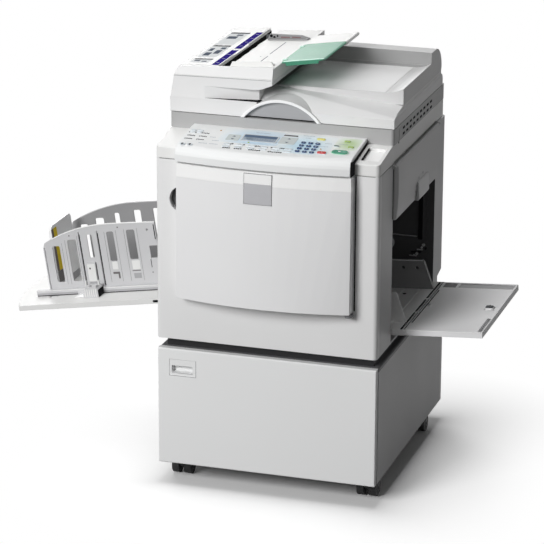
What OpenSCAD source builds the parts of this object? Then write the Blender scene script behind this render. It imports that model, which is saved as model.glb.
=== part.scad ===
// Digital duplicator on a storage cabinet, with a document feeder on top,
// a paper feed table on the right and a paper delivery table on the left.
// Millimetres, +Z up. X runs to the right as seen from the front and Y to the back.
// Heights are given as they would be without caster_lift, which is added at the end.

/* [Main unit] */
// Width of the main unit
body_w = 620; // [600:5:640]
// Depth of the main unit
body_d = 701; // [695:1:710]
// Height of the underside of the main unit
body_z0 = 400; // [400:1:404]
// Height of the seam between the main unit and its top cover
seam_z = 907; // [905:1:910]

/* [Cabinet] */
// Width of the cabinet
cab_w = 618; // [600:2:640]
// Depth of the cabinet behind its door
cab_d = 697; // [690:1:710]
// Height of the lower edge of the cabinet
cab_z0 = 35; // [32:1:38]
// Height of the top of the cabinet
cab_z1 = 369; // [364:1:372]
// Radius of a caster wheel
wheel_r = 25; // [23:1:25]
// How far the casters raise the cabinet and everything on it
caster_lift = 26; // [24:1:30]

/* [Front door] */
// Half the width of the front door
door_hw = 242; // [240:1:244]
// How far the middle of its lower edge bows out past its ends
door_bow = 31; // [26:1:36]
// How far the ends of its lower edge stand out from the main unit
door_proud = 37; // [34:1:40]

/* [Scanner and feeder] */
// Width of the scanner and its cover
scan_w = 626; // [620:1:640]
// Height of the gap between the scanner and its cover
platen_z = 1002; // [1000:1:1010]

/* [Paper tables] */
// Slope of the feed table, up to the outside, in degrees
feed_tilt = 3.9; // [2:0.1:5]
// Slope of the delivery table, down to the outside, in degrees
deliv_tilt = 9; // [6:0.5:10]
// Distance from the middle of the paper to a feed fence, which A3 paper sets
feed_fence_y = 148.5; // [140:0.5:150]
// Distance from the middle of the paper to a delivery fence
deliv_fence_y = 110; // [105:1:120]
// Length of the feed extension beyond its hinge
ext_len = 217; // [200:1:230]

/* [Hidden] */
$fn = 48;
gap = 5;                         // clearance round what moves
skin = 20;                       // thickness of the main unit's side panels
hw = body_w / 2;                 // half the width of the main unit
chw = cab_w / 2;                 // half the width of the cabinet
shw = scan_w / 2;                // half the width of the scanner
scan_y0 = 129;                   // front of the scanner and its cover
scan_y1 = 668;                   // back of the scanner
lid_y1 = 645;                    // back of the scanner's cover and of the feeder
deck_z = 959;                    // underside of the scanner
lid_z = 1038;                    // where the cover's flat part ends
paper_y = 366;                   // middle of the paper path
cab_y0 = 29;                     // front of the cabinet behind its door
cab_y1 = cab_y0 + cab_d;         // back of the cabinet
cab_t = 14;                      // thickness of its walls
grip = [-276, -201, 293, 339];   // outline of the cabinet door's pull: x0, x1, z0, z1
door_x = 1;                      // middle of the front door
door_z0 = 532;
door_z1 = 906;
bevel_z = 870;                   // where the door's upper band starts
top_bow = 20;                    // bow and ends of the door's upper edge: it leans back
top_proud = 32;
door_t = 6;                      // thickness of the door's shell
hinge_x = 236;                   // hinge line of the front door
hinge_y = -20;
plate = [-46, 33, 819, 903];     // badge plate: x0, x1, z0, z1
panel_x = -3;                    // middle of the operation panel
panel_hw = 242;
panel_y = -32;                   // its front at the ends, and how far its middle bows out
panel_bow = 20;
panel_z0 = 911;
panel_z1 = 951;                  // its top at the front, y = -40, and at the back, y = scan_y0
panel_z2 = 974;
bay_x0 = -236;                   // drum bay
bay_x1 = 135;
bay_y1 = 430;
bay_z0 = 528;
bay_z1 = 885;
wall_t = 10;                     // thickness of the wall between the bays
shelf_x0 = -250;                 // left end of the paper path
exit = [190, 542, 475, 560];     // paper exit: y0, y1, z0, z1
jamb_y0 = 141;                   // feed opening
jamb_y1 = 596;
head_z = 750;                    // top of the feed opening
back_y = 646;                    // front of the rear housing
back_z0 = 440;                   // and its lower edge
feed_z = 440.5;                  // top of the feed table at the side of the main unit
ext_x = 35;                      // feed extension's hinge, out from the side
ext_t = 16;                      // thickness of the feed table
hinge_r = 5;                     // radius of the hinge between the two, just under its top
pin_r = 2.5;                     // hinge pins, and their play
play = 0.2;
table_y0 = 148;
table_y1 = 583;
fence_h = 85;                    // height of a feed fence
deliv_z = 462.7;                 // top of the delivery table at the side of the main unit
deliv_t = 14;
deliv_len = 476;                 // delivery table to its outer corners
deliv_bulge = 42;                // and how far its end bows out past them
deliv_y0 = 157;
deliv_y1 = 575;
fence_t = 3;
end_u = 398;                     // end plate, out from the side of the main unit
end_hw = 76;                     // half its width
lid_hinge = [656, 1012];         // hinge line of the scanner's cover: y, z
lid_hinge_x = [-224, 200];       // left ends of its fixed barrels
cover_hinge = [-292, 1112];      // hinge line of the feeder's cover: x, z
side_hinge = [hw + 5.5, 901];    // hinge line of the right cover: x, z
tray_y0 = 230;                   // front of the exit tray
tray_z = 1076;                   // its surface at the right, before the lip
arch_r = 140;                    // the cover's handle is a segment of this circle
arch_z = 1060;                   // and this high
caster_x = 267;
caster_y0 = 80;
caster_y1 = 600;
trail = 16;                      // a caster's wheels behind its swivel
wheel_in = 7.5;                  // inner and outer face of a wheel, from the middle of its caster
wheel_out = 27.5;
axle_r = 4;

// Heights of the feeder's top and of the table in it
function feeder_top(x) = 1128 + (x + 290) * 14 / 260;
function table_top(x) = 1128 + (x + 160) * 10 / 134;

// The origin is the middle of the footprint, so everything is moved by these two
left_x = -hw - (deliv_len + deliv_bulge) * cos(deliv_tilt);
right_x = hw + (ext_x + ext_len) * cos(feed_tilt) + ext_t * sin(feed_tilt);
front_y = -door_proud - door_bow - 1;
shift = [-(left_x + right_x) / 2, -(front_y + cab_y1) / 2, caster_lift];

// ---------- shapes used by several pieces ----------

module place() translate(shift) children();

module slab(x0, x1, y0, y1, z0, z1)
    translate([x0, y0, z0]) cube([x1 - x0, y1 - y0, z1 - z0]);

// A box whose upright edges are rounded
module rounded_slab(x0, x1, y0, y1, z0, z1, r)
    translate([0, 0, z0]) linear_extrude(z1 - z0) rounded_plan(x0, x1, y0, y1, r);

module rounded_plan(x0, x1, y0, y1, r) {
    translate([x0 + r, y0]) square([x1 - x0 - 2 * r, y1 - y0]);
    translate([x0, y0 + r]) square([x1 - x0, y1 - y0 - 2 * r]);
    for (x = [x0 + r, x1 - r], y = [y0 + r, y1 - r]) translate([x, y]) circle(r);
}

// An outline in Y and Z, drawn out along X
module along_x(x0, x1) translate([x0, 0, 0]) rotate([90, 0, 90]) linear_extrude(x1 - x0) children();

// An outline in X and Z, drawn out along Y
module along_y(y0, y1) translate([0, y1, 0]) rotate([90, 0, 0]) linear_extrude(y1 - y0) children();

module rod_x(x0, x1, y, z, r) along_x(x0, x1) translate([y, z]) circle(r);
module rod_y(y0, y1, x, z, r) along_y(y0, y1) translate([x, z]) circle(r);
module rod_z(z0, z1, x, y, r) translate([x, y, z0]) cylinder(r = r, h = z1 - z0);

// Radius of an arc that rises by bow over a chord of twice half
function bow_r(half, bow) = (half * half + bow * bow) / (2 * bow);

// A plan with a straight back and sides, and a front that bows out by bow
module bowed_plan(half, edge_y, bow, back_y) {
    r = bow_r(half, bow);
    intersection() {
        translate([0, edge_y - bow + r]) circle(r, $fn = 180);
        translate([-half, edge_y - bow - 1]) square([2 * half, back_y - edge_y + bow + 1]);
    }
}

// The sloping frames of the two tables: z = 0 is the table's top, x = 0 is the machine's side
module on_feed_table() translate([hw, 0, feed_z]) rotate([0, -feed_tilt, 0]) children();
module on_delivery_table() translate([-hw, 0, deliv_z]) rotate([0, -deliv_tilt, 0]) children();

// ---------- cabinet ----------

module cabinet_sides() place() color("gainsboro") for (side = [0, 1]) mirror([side, 0, 0]) {
    slab(chw - cab_t, chw, cab_y0, cab_y1 - cab_t, cab_z0 + 27, cab_z1 - 12);
    slab(chw - 2, chw, cab_y0, cab_y1 - cab_t, cab_z0, cab_z0 + 27);
}

module cabinet_floor() place() color("silver")
    slab(cab_t - chw, chw - cab_t, cab_y0, cab_y1 - cab_t, cab_z0 + 27, cab_z0 + 39);

module cabinet_top() place() color("dimgray") along_y(cab_y0, cab_y1)
    polygon([[-chw, cab_z1 - 12], [chw, cab_z1 - 12], [chw, cab_z1 - 3], [chw - 3, cab_z1],
             [3 - chw, cab_z1], [-chw, cab_z1 - 3]]);

module cabinet_back() place() color("gainsboro")
    slab(-chw, chw, cab_y1 - cab_t, cab_y1, cab_z0, cab_z1 - 12);

module cabinet_door() place() color("whitesmoke") difference() {
    intersection() {
        rounded_slab(-chw, chw, cab_y0 - 25, cab_y0 - gap, cab_z0, cab_z1, 3);
        along_x(-chw, chw) polygon([[cab_y0 - 25, cab_z0 + 2], [cab_y0 - 23, cab_z0], [cab_y0, cab_z0],
                                    [cab_y0, cab_z1], [cab_y0 - 22, cab_z1], [cab_y0 - 25, cab_z1 - 3]]);
    }
    slab(22 - chw, chw - 22, cab_y0 - 17, cab_y0, cab_z0 + 20, grip[2] - 8);
    slab(grip[1] + 8, chw - 22, cab_y0 - 17, cab_y0, grip[2] - 9, cab_z1 - 20);
    // The pull: a shallow panel, and a pocket in it that goes up behind its upper edge
    slab(grip[0], grip[1], cab_y0 - 26, cab_y0 - 24, grip[2], grip[3]);
    slab(grip[0] + 8, grip[1] - 9, cab_y0 - 26, cab_y0 - 9, grip[2] + 9, grip[3] - 18);
    slab(grip[0] + 8, grip[1] - 9, cab_y0 - 19, cab_y0 - 9, grip[3] - 19, grip[3] - 6);
}

module base_plinth() place() color("dimgray") slab(-292, 292, 38, back_y - 6, cab_z1, body_z0);

// ---------- main unit ----------

module front_frame() place() color("gainsboro") {
    difference() {
        rounded_slab(-hw, hw, 0, 37, body_z0, seam_z, 12);
        slab(-hw - 1, hw + 1, 25, 38, body_z0 - 1, seam_z + 1);
        slab(bay_x0, bay_x1, -1, 26, bay_z0, bay_z1);
        // A scoop for the fingers beside the door
        rod_y(-1, 18, -235, 797, 36);
    }
    // The door's lower hinge
    rod_z(door_z0 - gap, door_z0 + 9, hinge_x, hinge_y, pin_r);
    rod_z(door_z0 - gap - 7, door_z0 - gap, hinge_x, hinge_y, 9);
    slab(hinge_x - 9, hinge_x + 9, hinge_y, 0, door_z0 - gap - 7, door_z0 - gap);
}

module side_panel_left() place() color("gainsboro") difference() {
    slab(-hw, skin - hw, 25, back_y, body_z0, seam_z);
    slab(-hw - 1, skin - hw + 1, exit[0], exit[1], exit[2], exit[3]);
    // Cooling slots
    for (row = [0:8]) slab(-hw - 1, 5 - hw, 480, 610, 620 + 14 * row, 626 + 14 * row);
}

// The right side is a frame round the feed opening and the cover above it
module side_panel_right() place() color("gray") {
    slab(hw - skin, hw, 25, jamb_y0, body_z0, seam_z);
    slab(hw - skin, hw, jamb_y1, back_y, body_z0, seam_z);
    slab(hw - skin, hw, jamb_y0, jamb_y1, body_z0, body_z0 + gap);
    slab(hw - skin, hw, jamb_y0, jamb_y1, bay_z1, seam_z);
    // The fixed ends of the cover's hinge, with its pins
    for (y = [jamb_y0 - 15, jamb_y1]) {
        slab(hw, side_hinge[0], y, y + 10, side_hinge[1] - gap, side_hinge[1] + gap);
        rod_y(y, y + 10, side_hinge[0], side_hinge[1], gap);
    }
    rod_y(jamb_y0 - 15, jamb_y0 + 8, side_hinge[0], side_hinge[1], pin_r);
    rod_y(jamb_y1 - 13, jamb_y1 + 10, side_hinge[0], side_hinge[1], pin_r);
}

module rear_housing() place() color("gray") difference() {
    intersection() {
        rounded_slab(-hw, hw, back_y - 20, body_d, back_z0 - 2, 901, 12);
        along_x(-hw, hw) polygon([[back_y, back_z0 - 2], [body_d, back_z0 + 10], [body_d, 897],
                                  [body_d - 4, 901], [back_y, 901]]);
    }
    for (group = [-200, 60], row = [0:9])
        slab(group, group + 140, body_d - 4, body_d + 1, 640 + 14 * row, 646 + 14 * row);
    // The mains inlet
    slab(-262, -212, body_d - 3, body_d + 1, 466, 500);
    slab(-254, -220, body_d - 22, body_d - 3, 470, 496);
}

module top_cover() place() color("whitesmoke") difference() {
    union() {
        intersection() {
            along_x(-hw, hw)
                polygon([[0, seam_z], [scan_y0, seam_z], [scan_y0, deck_z], [2, 939], [0, 937]]);
            rounded_slab(-hw, hw, 0, scan_y1, seam_z, deck_z, 12);
        }
        slab(-hw, hw, scan_y0, scan_y1, seam_z, deck_z);
    }
    // Room for the operation panel
    slab(panel_x - panel_hw - 2, panel_x + panel_hw + 4, -1, scan_y0, seam_z - 1, deck_z + 1);
    // A tray for clips in the right shoulder
    translate([0, 0, 939]) rotate([atan2(20, scan_y0), 0, 0]) slab(251, 300, 25, 106, -8, 30);
    // A shadow line where it meets the main unit
    difference() {
        slab(-hw - 1, hw + 1, -1, scan_y1 + 1, seam_z - 1, seam_z + 1.5);
        rounded_slab(2 - hw, hw - 2, 2, scan_y1 - 2, seam_z - 2, seam_z + 2, 10);
    }
    // The reveal over the right cover
    slab(hw - 4, hw + 1, jamb_y0, jamb_y1 - 6, seam_z - 1, seam_z + 6);
}

module drum_bay_frame() place() color("dimgray") {
    slab(shelf_x0, bay_x1, 25, jamb_y1, body_z0, bay_z0);
    slab(skin - hw, bay_x0, 25, bay_y1, exit[3], bay_z1);
    slab(shelf_x0, bay_x1, bay_y1, jamb_y1, bay_z0, bay_z1);
}

module feed_bay_frame() place() color("dimgray") {
    slab(bay_x1, bay_x1 + wall_t, 25, jamb_y1, body_z0, bay_z1);
    slab(bay_x1 + wall_t, hw - skin, 25, jamb_y0, body_z0, bay_z1);
    slab(bay_x1 + wall_t, 232, jamb_y0, jamb_y1, head_z + 6, bay_z1);
    slab(bay_x1 + wall_t, hw - skin, jamb_y0, jamb_y1, head_z - 2, head_z + 6);
}

module rear_frame() place() color("dimgray") {
    slab(skin - hw, hw - skin, jamb_y1, back_y, body_z0, bay_z1);
    // The guide that the feed table climbs on
    slab(266, 278, jamb_y1 - 4, jamb_y1, 560, 740);
}

module inner_deck() place() color("dimgray")
    slab(skin - hw, hw - skin, 25, back_y, bay_z1, seam_z);

module print_drum() place() color("silver") {
    x = (bay_x0 + bay_x1) / 2;
    difference() {
        union() {
            rod_y(76, bay_y1, x, 700, 90);
            for (y = [58, bay_y1 - 40]) rod_y(y, y + 18, x, 700, 100);
        }
        rod_y(57, 66, x, 700, 70);
    }
    rod_y(38, 66, x, 700, 20);
    slab(x - 55, x + 55, 40, 52, 690, 710);
}

module master_roll() place() color("white") {
    rod_y(jamb_y0 + 20, jamb_y1 - 20, hw - 42, 815, 30);
    rod_y(jamb_y0, jamb_y1, hw - 42, 815, 9);
}

// A roller on the arm that lowers it onto the paper, between the fences
module feed_roller() place() color("darkslategray") {
    slab(bay_x1 + wall_t, 228, paper_y - 8, paper_y + 8, 600, 616);
    rod_y(paper_y - 28, paper_y + 28, 228, 608, 20);
}

// ---------- operation panel ----------

module operation_panel() place() color("white") {
    r = bow_r(panel_hw, panel_bow);
    intersection() {
        // Its front is part of a wide ring with a soft upper edge, and its top is cut to a slope
        translate([panel_x, panel_y - panel_bow + r, 0]) rotate_extrude($fn = 180)
            polygon([for (p = [[-260, seam_z - panel_z1], [0, seam_z - panel_z1], [0, -21], [-2, -13], [-6, -6.5],
                               [-12, -1.5], [-20, 2], [-40, 10], [-260, 39]]) [r + p[0], panel_z1 + p[1]]]);
        along_x(panel_x - panel_hw, panel_x + panel_hw)
            polygon([[-60, panel_z0], [0, panel_z0], [0, seam_z], [scan_y0, seam_z],
                     [scan_y0, panel_z2], [-60, panel_top(-60)]]);
    }
    // The door's upper hinge pin
    rod_z(door_z1 - 9, panel_z0 + 1, hinge_x, hinge_y, pin_r);
}

function panel_top(y) = panel_z1 + (y + 40) * (panel_z2 - panel_z1) / (scan_y0 + 40);

// The panel's sloping top: x as in the machine, y up the slope from its front edge, z out of it
module on_panel() translate([0, -40, panel_z1])
    rotate([atan2(panel_z2 - panel_z1, scan_y0 + 40), 0, 0]) children();

// A key with round ends
module key(x, y, w, d, h)
    on_panel() rounded_slab(x - w / 2, x + w / 2, y - d / 2, y + d / 2, 0, h, 0.45 * d);

module lcd_screen() place() color("lightsteelblue") on_panel() slab(-84, 8, 86, 124, 0, 1.5);

module key_pad() place() color("darkslateblue")
    for (row = [0:3], col = [0:2]) key(84 + 19.6 * col, 44 + 19.5 * row, 13, 9, 3);

module start_key() place() color("seagreen") key(196, 60, 42, 20, 4);
module stop_key() place() color("firebrick") key(150, 47, 24, 12, 3.5);

module mode_keys() place() color("gainsboro") {
    for (row = [0:1], col = [0:1]) key(-229 + 19 * col, 112 + 12 * row, 15, 7, 2.5);
    for (col = [0:5], row = [0:1]) key(-112 + 34 * col, 36 + 15 * row, 20, 7, 2.5);
    for (at = [[-229, 27], [-208, 27], [124, 134], [176, 98], [196, 134], [215, 99]])
        key(at[0], at[1], 15, 8, 2.5);
}

// ---------- scanner ----------

module scanner_body() place() color("gainsboro") {
    difference() {
        rounded_slab(-shw, shw, scan_y0, scan_y1, deck_z, platen_z, 10);
        slab(-230, 230, scan_y0 + 60, lid_y1 - 60, platen_z - 3, platen_z + 1);
        // Cooling slots in the right side, and a seam in front of them
        for (row = [0:1], col = [0:8])
            slab(shw - 4, shw + 1, 218 + 36 * col, 242 + 36 * col, 965 + 16 * row, 973 + 16 * row);
        slab(shw - 4, shw + 1, 181, 185, 952, 993);
    }
    // The fixed halves of the cover's hinges
    for (x = lid_hinge_x) {
        rod_x(x, x + 24, lid_hinge[0], lid_hinge[1], 8);
        slab(x, x + 24, lid_hinge[0] - 6, lid_hinge[0] + 6, platen_z, lid_hinge[1]);
        rod_x(x - 16, x + 40, lid_hinge[0], lid_hinge[1], pin_r);
    }
}

module platen_glass() place() color("powderblue")
    slab(-230, 230, scan_y0 + 60, lid_y1 - 60, platen_z - 3, platen_z);

// ---------- front door ----------

// The plan of the door at height z: its right-hand back corner is rounded about the hinge line
module door_plan(z, inset = 0) intersection() {
    t = (z - door_z0) / (door_z1 - door_z0);
    proud = door_proud + (top_proud - door_proud) * t;
    bow = door_bow + (top_bow - door_bow) * t;
    translate([door_x, 0]) bowed_plan(door_hw - inset, inset - proud, bow, -gap, $fn = 720);
    union() {
        translate([-door_hw, -100]) square([door_hw + hinge_x, 100]);
        translate([-door_hw, -100]) square([2 * door_hw + 2, 100 + hinge_y]);
        translate([hinge_x, hinge_y]) circle(15);
    }
}

// The door's form from z0 up to z1, with less width and depth at the top where inset is more than 0
module door_form(z0, z1, inset = 0) hull() {
    translate([0, 0, z0]) linear_extrude(0.5) door_plan(z0);
    translate([0, 0, z1 - 0.5]) linear_extrude(0.5) door_plan(z1, inset);
}

// The badge plate lies in a pocket that leans back with the door
module on_plate() translate([0, -53.8, (plate[2] + plate[3]) / 2]) rotate([-2.45, 0, 0]) children();

module plate_pocket() on_plate() slab(plate[0], plate[1], -5, 1.4, -43, 43);

// A shell that is open at the back, with ribs in it and a solid end at the hinge
module front_door() place() color("gainsboro") difference() {
    door_form(door_z0, bevel_z);
    translate([0, 0, door_z0 + door_t]) linear_extrude(bevel_z - door_z0 - 2 * door_t) difference() {
        union() {
            door_plan(bevel_z, door_t);
            translate([2 * door_t - door_hw, -12]) square([hinge_x - 14 + door_hw - 2 * door_t, 12]);
        }
        for (x = [-122, 0, 122]) translate([x - 2, -80]) square([4, 60]);
        translate([hinge_x - 14, -80]) square([30, 80]);
    }
    rod_z(door_z0 - 1, door_z0 + 12, hinge_x, hinge_y, pin_r + play);
    plate_pocket();
}

module door_band() place() color("whitesmoke") difference() {
    door_form(bevel_z, door_z1, 1.5);
    rod_z(door_z1 - 12, door_z1 + 1, hinge_x, hinge_y, pin_r + play);
    plate_pocket();
}

module badge_plate() place() color("silver") on_plate()
    slab(plate[0] + 0.4, plate[1] - 0.4, -1, 1.4, (plate[2] - plate[3]) / 2, (plate[3] - plate[2]) / 2);

// ---------- right cover ----------

module cover_profile() translate(side_hinge) polygon([[-5, 0], [5, 0], [6, -40], [6, -80], [4.5, -120],
                                                      [2, head_z + 1 - side_hinge[1]],
                                                      [-5, head_z + 1 - side_hinge[1]]]);

module right_cover() place() color("gray") {
    y0 = jamb_y0;
    y1 = jamb_y1 - gap;
    difference() {
        union() {
            // A slightly bowed panel, bevelled at both ends
            intersection() {
                along_y(y0, y1) cover_profile();
                translate([0, 0, head_z]) linear_extrude(side_hinge[1] - head_z)
                    polygon([[hw, y0], [hw + 4, y0], [hw + 12, y0 + 14], [hw + 12, y1 - 8], [hw + 5, y1], [hw, y1]]);
            }
            rod_y(y0, y1, side_hinge[0], side_hinge[1], hinge_r);
        }
        rod_y(y0 - 1, y0 + 11, side_hinge[0], side_hinge[1], pin_r + play);
        rod_y(y1 - 11, y1 + 1, side_hinge[0], side_hinge[1], pin_r + play);
    }
}

// A grip that wraps the cover's lower edge
module cover_latch() place() color("silver") along_y(355, 462) difference() {
    polygon([[hw + 2, 746], [hw + 14, 746], [hw + 17, 752], [hw + 15, 795], [hw + 11.5, 799], [hw + 2, 799]]);
    cover_profile();
}

// ---------- cover and feeder ----------

// The form of the backs of the tray and the feeder, from y = front up to z = top, rounded from y
module back_form(front, top, y = 565) {
    r = 65;
    translate([front, lid_z + 6]) square([y - front, top - lid_z - 6]);
    polygon([[y, lid_z + 6], [lid_y1 - 10, lid_z + 6], [y + r, top - r], [y, top - r]]);
    intersection() {
        translate([y, top - r]) circle(r, $fn = 72);
        translate([y - 1, max(top - r, lid_z + 6)]) square([r + 2, r]);
    }
}

module platen_cover() place() color("gainsboro") {
    z0 = platen_z + 2;
    z1 = lid_z + 6;
    feeder_x = -68;
    difference() {
        union() {
            along_x(-shw, feeder_x) polygon([[scan_y0, z0], [lid_y1, z0], [lid_y1, z1 - 22],
                                             [lid_y1 - 10, z1], [scan_y0, z1]]);
            along_x(feeder_x, shw) polygon([[tray_y0 - 1, z0], [lid_y1, z0], [lid_y1, z1 - 22],
                                            [lid_y1 - 10, z1], [tray_y0 - 1, z1]]);
            // Its front rises to the feeder
            hull() {
                along_x(feeder_x, feeder_x + 0.5) polygon([[scan_y0, z0], [tray_y0, z0], [tray_y0, 1073],
                                                           [scan_y0 + 9, 1035], [scan_y0, 1031]]);
                along_x(shw - 0.5, shw) polygon([[scan_y0, z0], [tray_y0, z0], [tray_y0, z1],
                                                 [scan_y0 + 9, 1032], [scan_y0, 1029]]);
            }
            // The rim of the handle
            intersection() {
                rod_y(scan_y0 - 7, 205, 0, arch_z - arch_r, arch_r, $fn = 160);
                slab(-arch_r, arch_r, scan_y0 - 8, 206, z0, arch_z + 1);
            }
        }
        intersection() {
            rod_y(scan_y0 - 8, scan_y0 + 7, 0, arch_z - arch_r, arch_r - 8, $fn = 160);
            slab(-arch_r, arch_r, scan_y0 - 8, scan_y0 + 8, z0 - 1, arch_z);
        }
        // A bevel along its right end, under the tray
        along_y(scan_y0 - 1, lid_y1 + 1) polygon([[shw + 1, 1031], [shw, 1032], [shw - 3, 1036],
                                                  [shw - 3, 1060], [shw + 1, 1060]]);
    }
    // The moving halves of its hinges
    for (x = lid_hinge_x) for (x0 = [x - 20, x + 26]) difference() {
        union() {
            rod_x(x0, x0 + 18, lid_hinge[0], lid_hinge[1], 7);
            slab(x0, x0 + 18, lid_y1 - 2, lid_hinge[0], lid_hinge[1] - 6, lid_hinge[1] + 6);
        }
        rod_x(x0 - 1, x0 + 19, lid_hinge[0], lid_hinge[1], pin_r + play);
    }
}

module exit_tray() place() color("gainsboro") {
    along_y(tray_y0, 533.5) polygon([[-68, lid_z + 6], [shw - 3, lid_z + 6], [shw - 3, 1089], [306, 1088],
                                     [294, 1082], [279, 1078], [260, tray_z], [-20, 1074], [-68, 1073]]);
    along_x(-25, shw - 3) {
        back_form(533, 1119, 576);
        polygon([[524.5, 1067], [541, 1067], [541, 1119], [533, 1119], [524.5, 1085]]);
    }
    intersection() {
        along_x(-68, -24) back_form(533, 1119, 576);
        slab(-68, -24, 510, lid_y1, lid_z + 6, 1073);
    }
}

module feeder_body() place() color("gainsboro") difference() {
    intersection() {
        along_y(scan_y0, lid_y1) polygon([[-shw + 1, lid_z + 6], [-303, 1100], [-298, 1116], [-290, 1128],
                                          [-30, 1142], [-26, 1139], [-25, 1095], [-55, 1083], [-68.5, 1080],
                                          [-68.5, lid_z + 6]]);
        along_x(-shw, 0) {
            polygon([[scan_y0, lid_z + 6], [566, lid_z + 6], [566, 1142], [scan_y0 + 20, 1142],
                     [scan_y0 + 12, 1138], [scan_y0, 1108]]);
            back_form(565, 1142);
        }
    }
    // The well for its cover and for the table
    slab(-shw, -20, scan_y0 + 18, 622, 1104, 1150);
    // The slot through which the originals come out
    slab(-130, -20, scan_y0 + 40, 512, 1080, 1094.5);
    // A recess in the front that deepens to the right
    translate([0, 0, lid_z + 9]) linear_extrude(33)
        polygon([[-215, scan_y0 - 1], [-60, scan_y0 - 1], [-60, scan_y0 + 26], [-215, scan_y0]]);
}

module feeder_cover() place() color("white") along_y(scan_y0 + 23, 617) {
    translate(cover_hinge) circle(7.5);
    polygon([[-292, 1104.5], [-184, 1104.5], [-181, 1110], [-181, 1127], [-187, feeder_top(-187)],
             [-289, feeder_top(-289)], [-297, 1118], [-299.3, 1113]]);
}

module original_table() place() color("white") {
    along_y(scan_y0 + 19, 621) polygon([[-165, 1104], [-26, 1104], [-26, table_top(-26)],
                                        [-160, table_top(-160)], [-165, 1122]]);
    along_y(427, 545) polygon([[-26, 1130], [94, 1149], [97, 1152], [97, 1157], [94, 1159],
                               [-26, table_top(-26) + 1]]);
    // The feed rollers under the edge of the cover
    for (y = [260, 330, 400, 470]) rod_y(y, y + 24, -171, 1114, 5.5);
    rod_y(240, 514, -171, 1114, 2.5);
    for (y = [238, 512]) slab(-173, -164, y, y + 4, 1104, 1118);
}

module original_flap() place() color("mediumaquamarine", 0.7) {
    intersection() {
        along_y(203, 425) polygon([[-25, 1139], [92, 1157], [97, 1156.5], [97, 1159], [92, 1160], [-25, 1142]]);
        rounded_slab(-25, 97, 203, 425, 1100, 1200, 12);
    }
    along_y(203, 206) polygon([[-10, 1134], [80, 1148], [82, 1157], [-12, 1142]]);
}

// A document guide: a foot that follows the slope of the table, with a fence on its outer edge
module document_guide(y0, fence_y) {
    foot = [for (p = [[-152, 0.3], [-36, 0.3], [-36, 4], [-152, 4]]) [p[0], table_top(p[0]) + p[1]]];
    fence = [for (p = [[-157, 0.3], [-33, 0.3], [-40, 14], [-150, 14]]) [p[0], table_top(p[0]) + p[1]]];
    along_y(y0, y0 + 21) polygon(foot);
    along_y(fence_y, fence_y + 5) polygon(fence);
}

module guide_front() place() color("whitesmoke") document_guide(168, 168);
module guide_rear() place() color("gray") document_guide(489, 505);

// ---------- feed table ----------

module feed_table() place() color("gainsboro") on_feed_table() {
    mid_y = (table_y0 + table_y1) / 2;
    difference() {
        slab(-155, ext_x, table_y0, table_y1, -ext_t, 0);
        // Its outer end stops short of the hinge
        slab(ext_x - hinge_r - 0.7, ext_x + 1, table_y0 - 1, table_y1 + 1, -ext_t - 1, 1);
        // The grooves in which the fences slide
        for (u = [-60, -15]) slab(u, u + 4, table_y0 + 30, table_y1 - 30, -2, 1);
    }
    // The brackets that hold the extension's pins
    for (side = [0, 1]) translate([0, side * 2 * mid_y, 0]) mirror([0, side, 0]) {
        slab(4, ext_x - 8, table_y0 - 5, table_y0 + 1, -ext_t + 1, -1);
        along_y(table_y0 - 5, table_y0 - 0.5) {
            translate([ext_x - 8.5, -ext_t + 1]) square([8.5, ext_t - 2]);
            translate([ext_x, -ext_t + 8]) circle(7);
        }
        rod_y(table_y0 - 5, table_y0 + 15, ext_x, -hinge_r, pin_r);
    }
}

module feed_fence(side) {
    y = paper_y + side * feed_fence_y;
    on_feed_table() {
        along_y(min(y, y + side * 4), max(y, y + side * 4)) difference() {
            polygon([[-100, 0.3], [25, 0.3], [1, fence_h - 4], [-3, fence_h], [-94, fence_h], [-100, fence_h - 6]]);
            for (u = [-62, -22]) translate([u, fence_h - 24]) circle(5);
        }
        // Its foot
        along_y(min(y, y + side * 26), max(y, y + side * 26)) polygon([[-66, 0.3], [-10, 0.3], [-14, 5], [-62, 5]]);
    }
}

module feed_fence_front() place() color("gray") feed_fence(-1);
module feed_fence_rear() place() color("gray") feed_fence(1);

module feed_extension() place() color("gainsboro") on_feed_table() {
    end = ext_x + ext_len;
    difference() {
        union() {
            slab(ext_x, end, table_y0, table_y1, -ext_t, 0);
            rod_y(table_y0, table_y1, ext_x, -hinge_r, hinge_r);
        }
        slab(ext_x - 6, ext_x, table_y0 - 1, table_y1 + 1, -ext_t - 1, -2 * hinge_r + 1);
        for (side = [table_y0 - 1, table_y1 - 16]) rod_y(side, side + 17, ext_x, -hinge_r, pin_r + play);
        // Long recesses by the hinge, along the back edge and across the end
        slab(ext_x + 4, ext_x + 8, 211, 509, -2, 1);
        slab(ext_x + 8, ext_x + 46, table_y1 - 48, table_y1 - 8, -2, 1);
        slab(ext_x + 54, end - 5, table_y1 - 48, table_y1 - 8, -2, 1);
        slab(end - 14, end - 3, table_y0 + 4, 275, -2, 1);
        // Seat of the knob
        rounded_slab(ext_x + 174, ext_x + 202, 343, 370, -3, 1, 4);
    }
    // The knob of the end stop, and the latch by the hinge
    rounded_slab(ext_x + 177, ext_x + 199, 346, 367, -4, 5, 5);
    rounded_slab(ext_x + 10, ext_x + 20, 356, 376, -1, 2.5, 3);
}

// ---------- delivery table ----------

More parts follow.
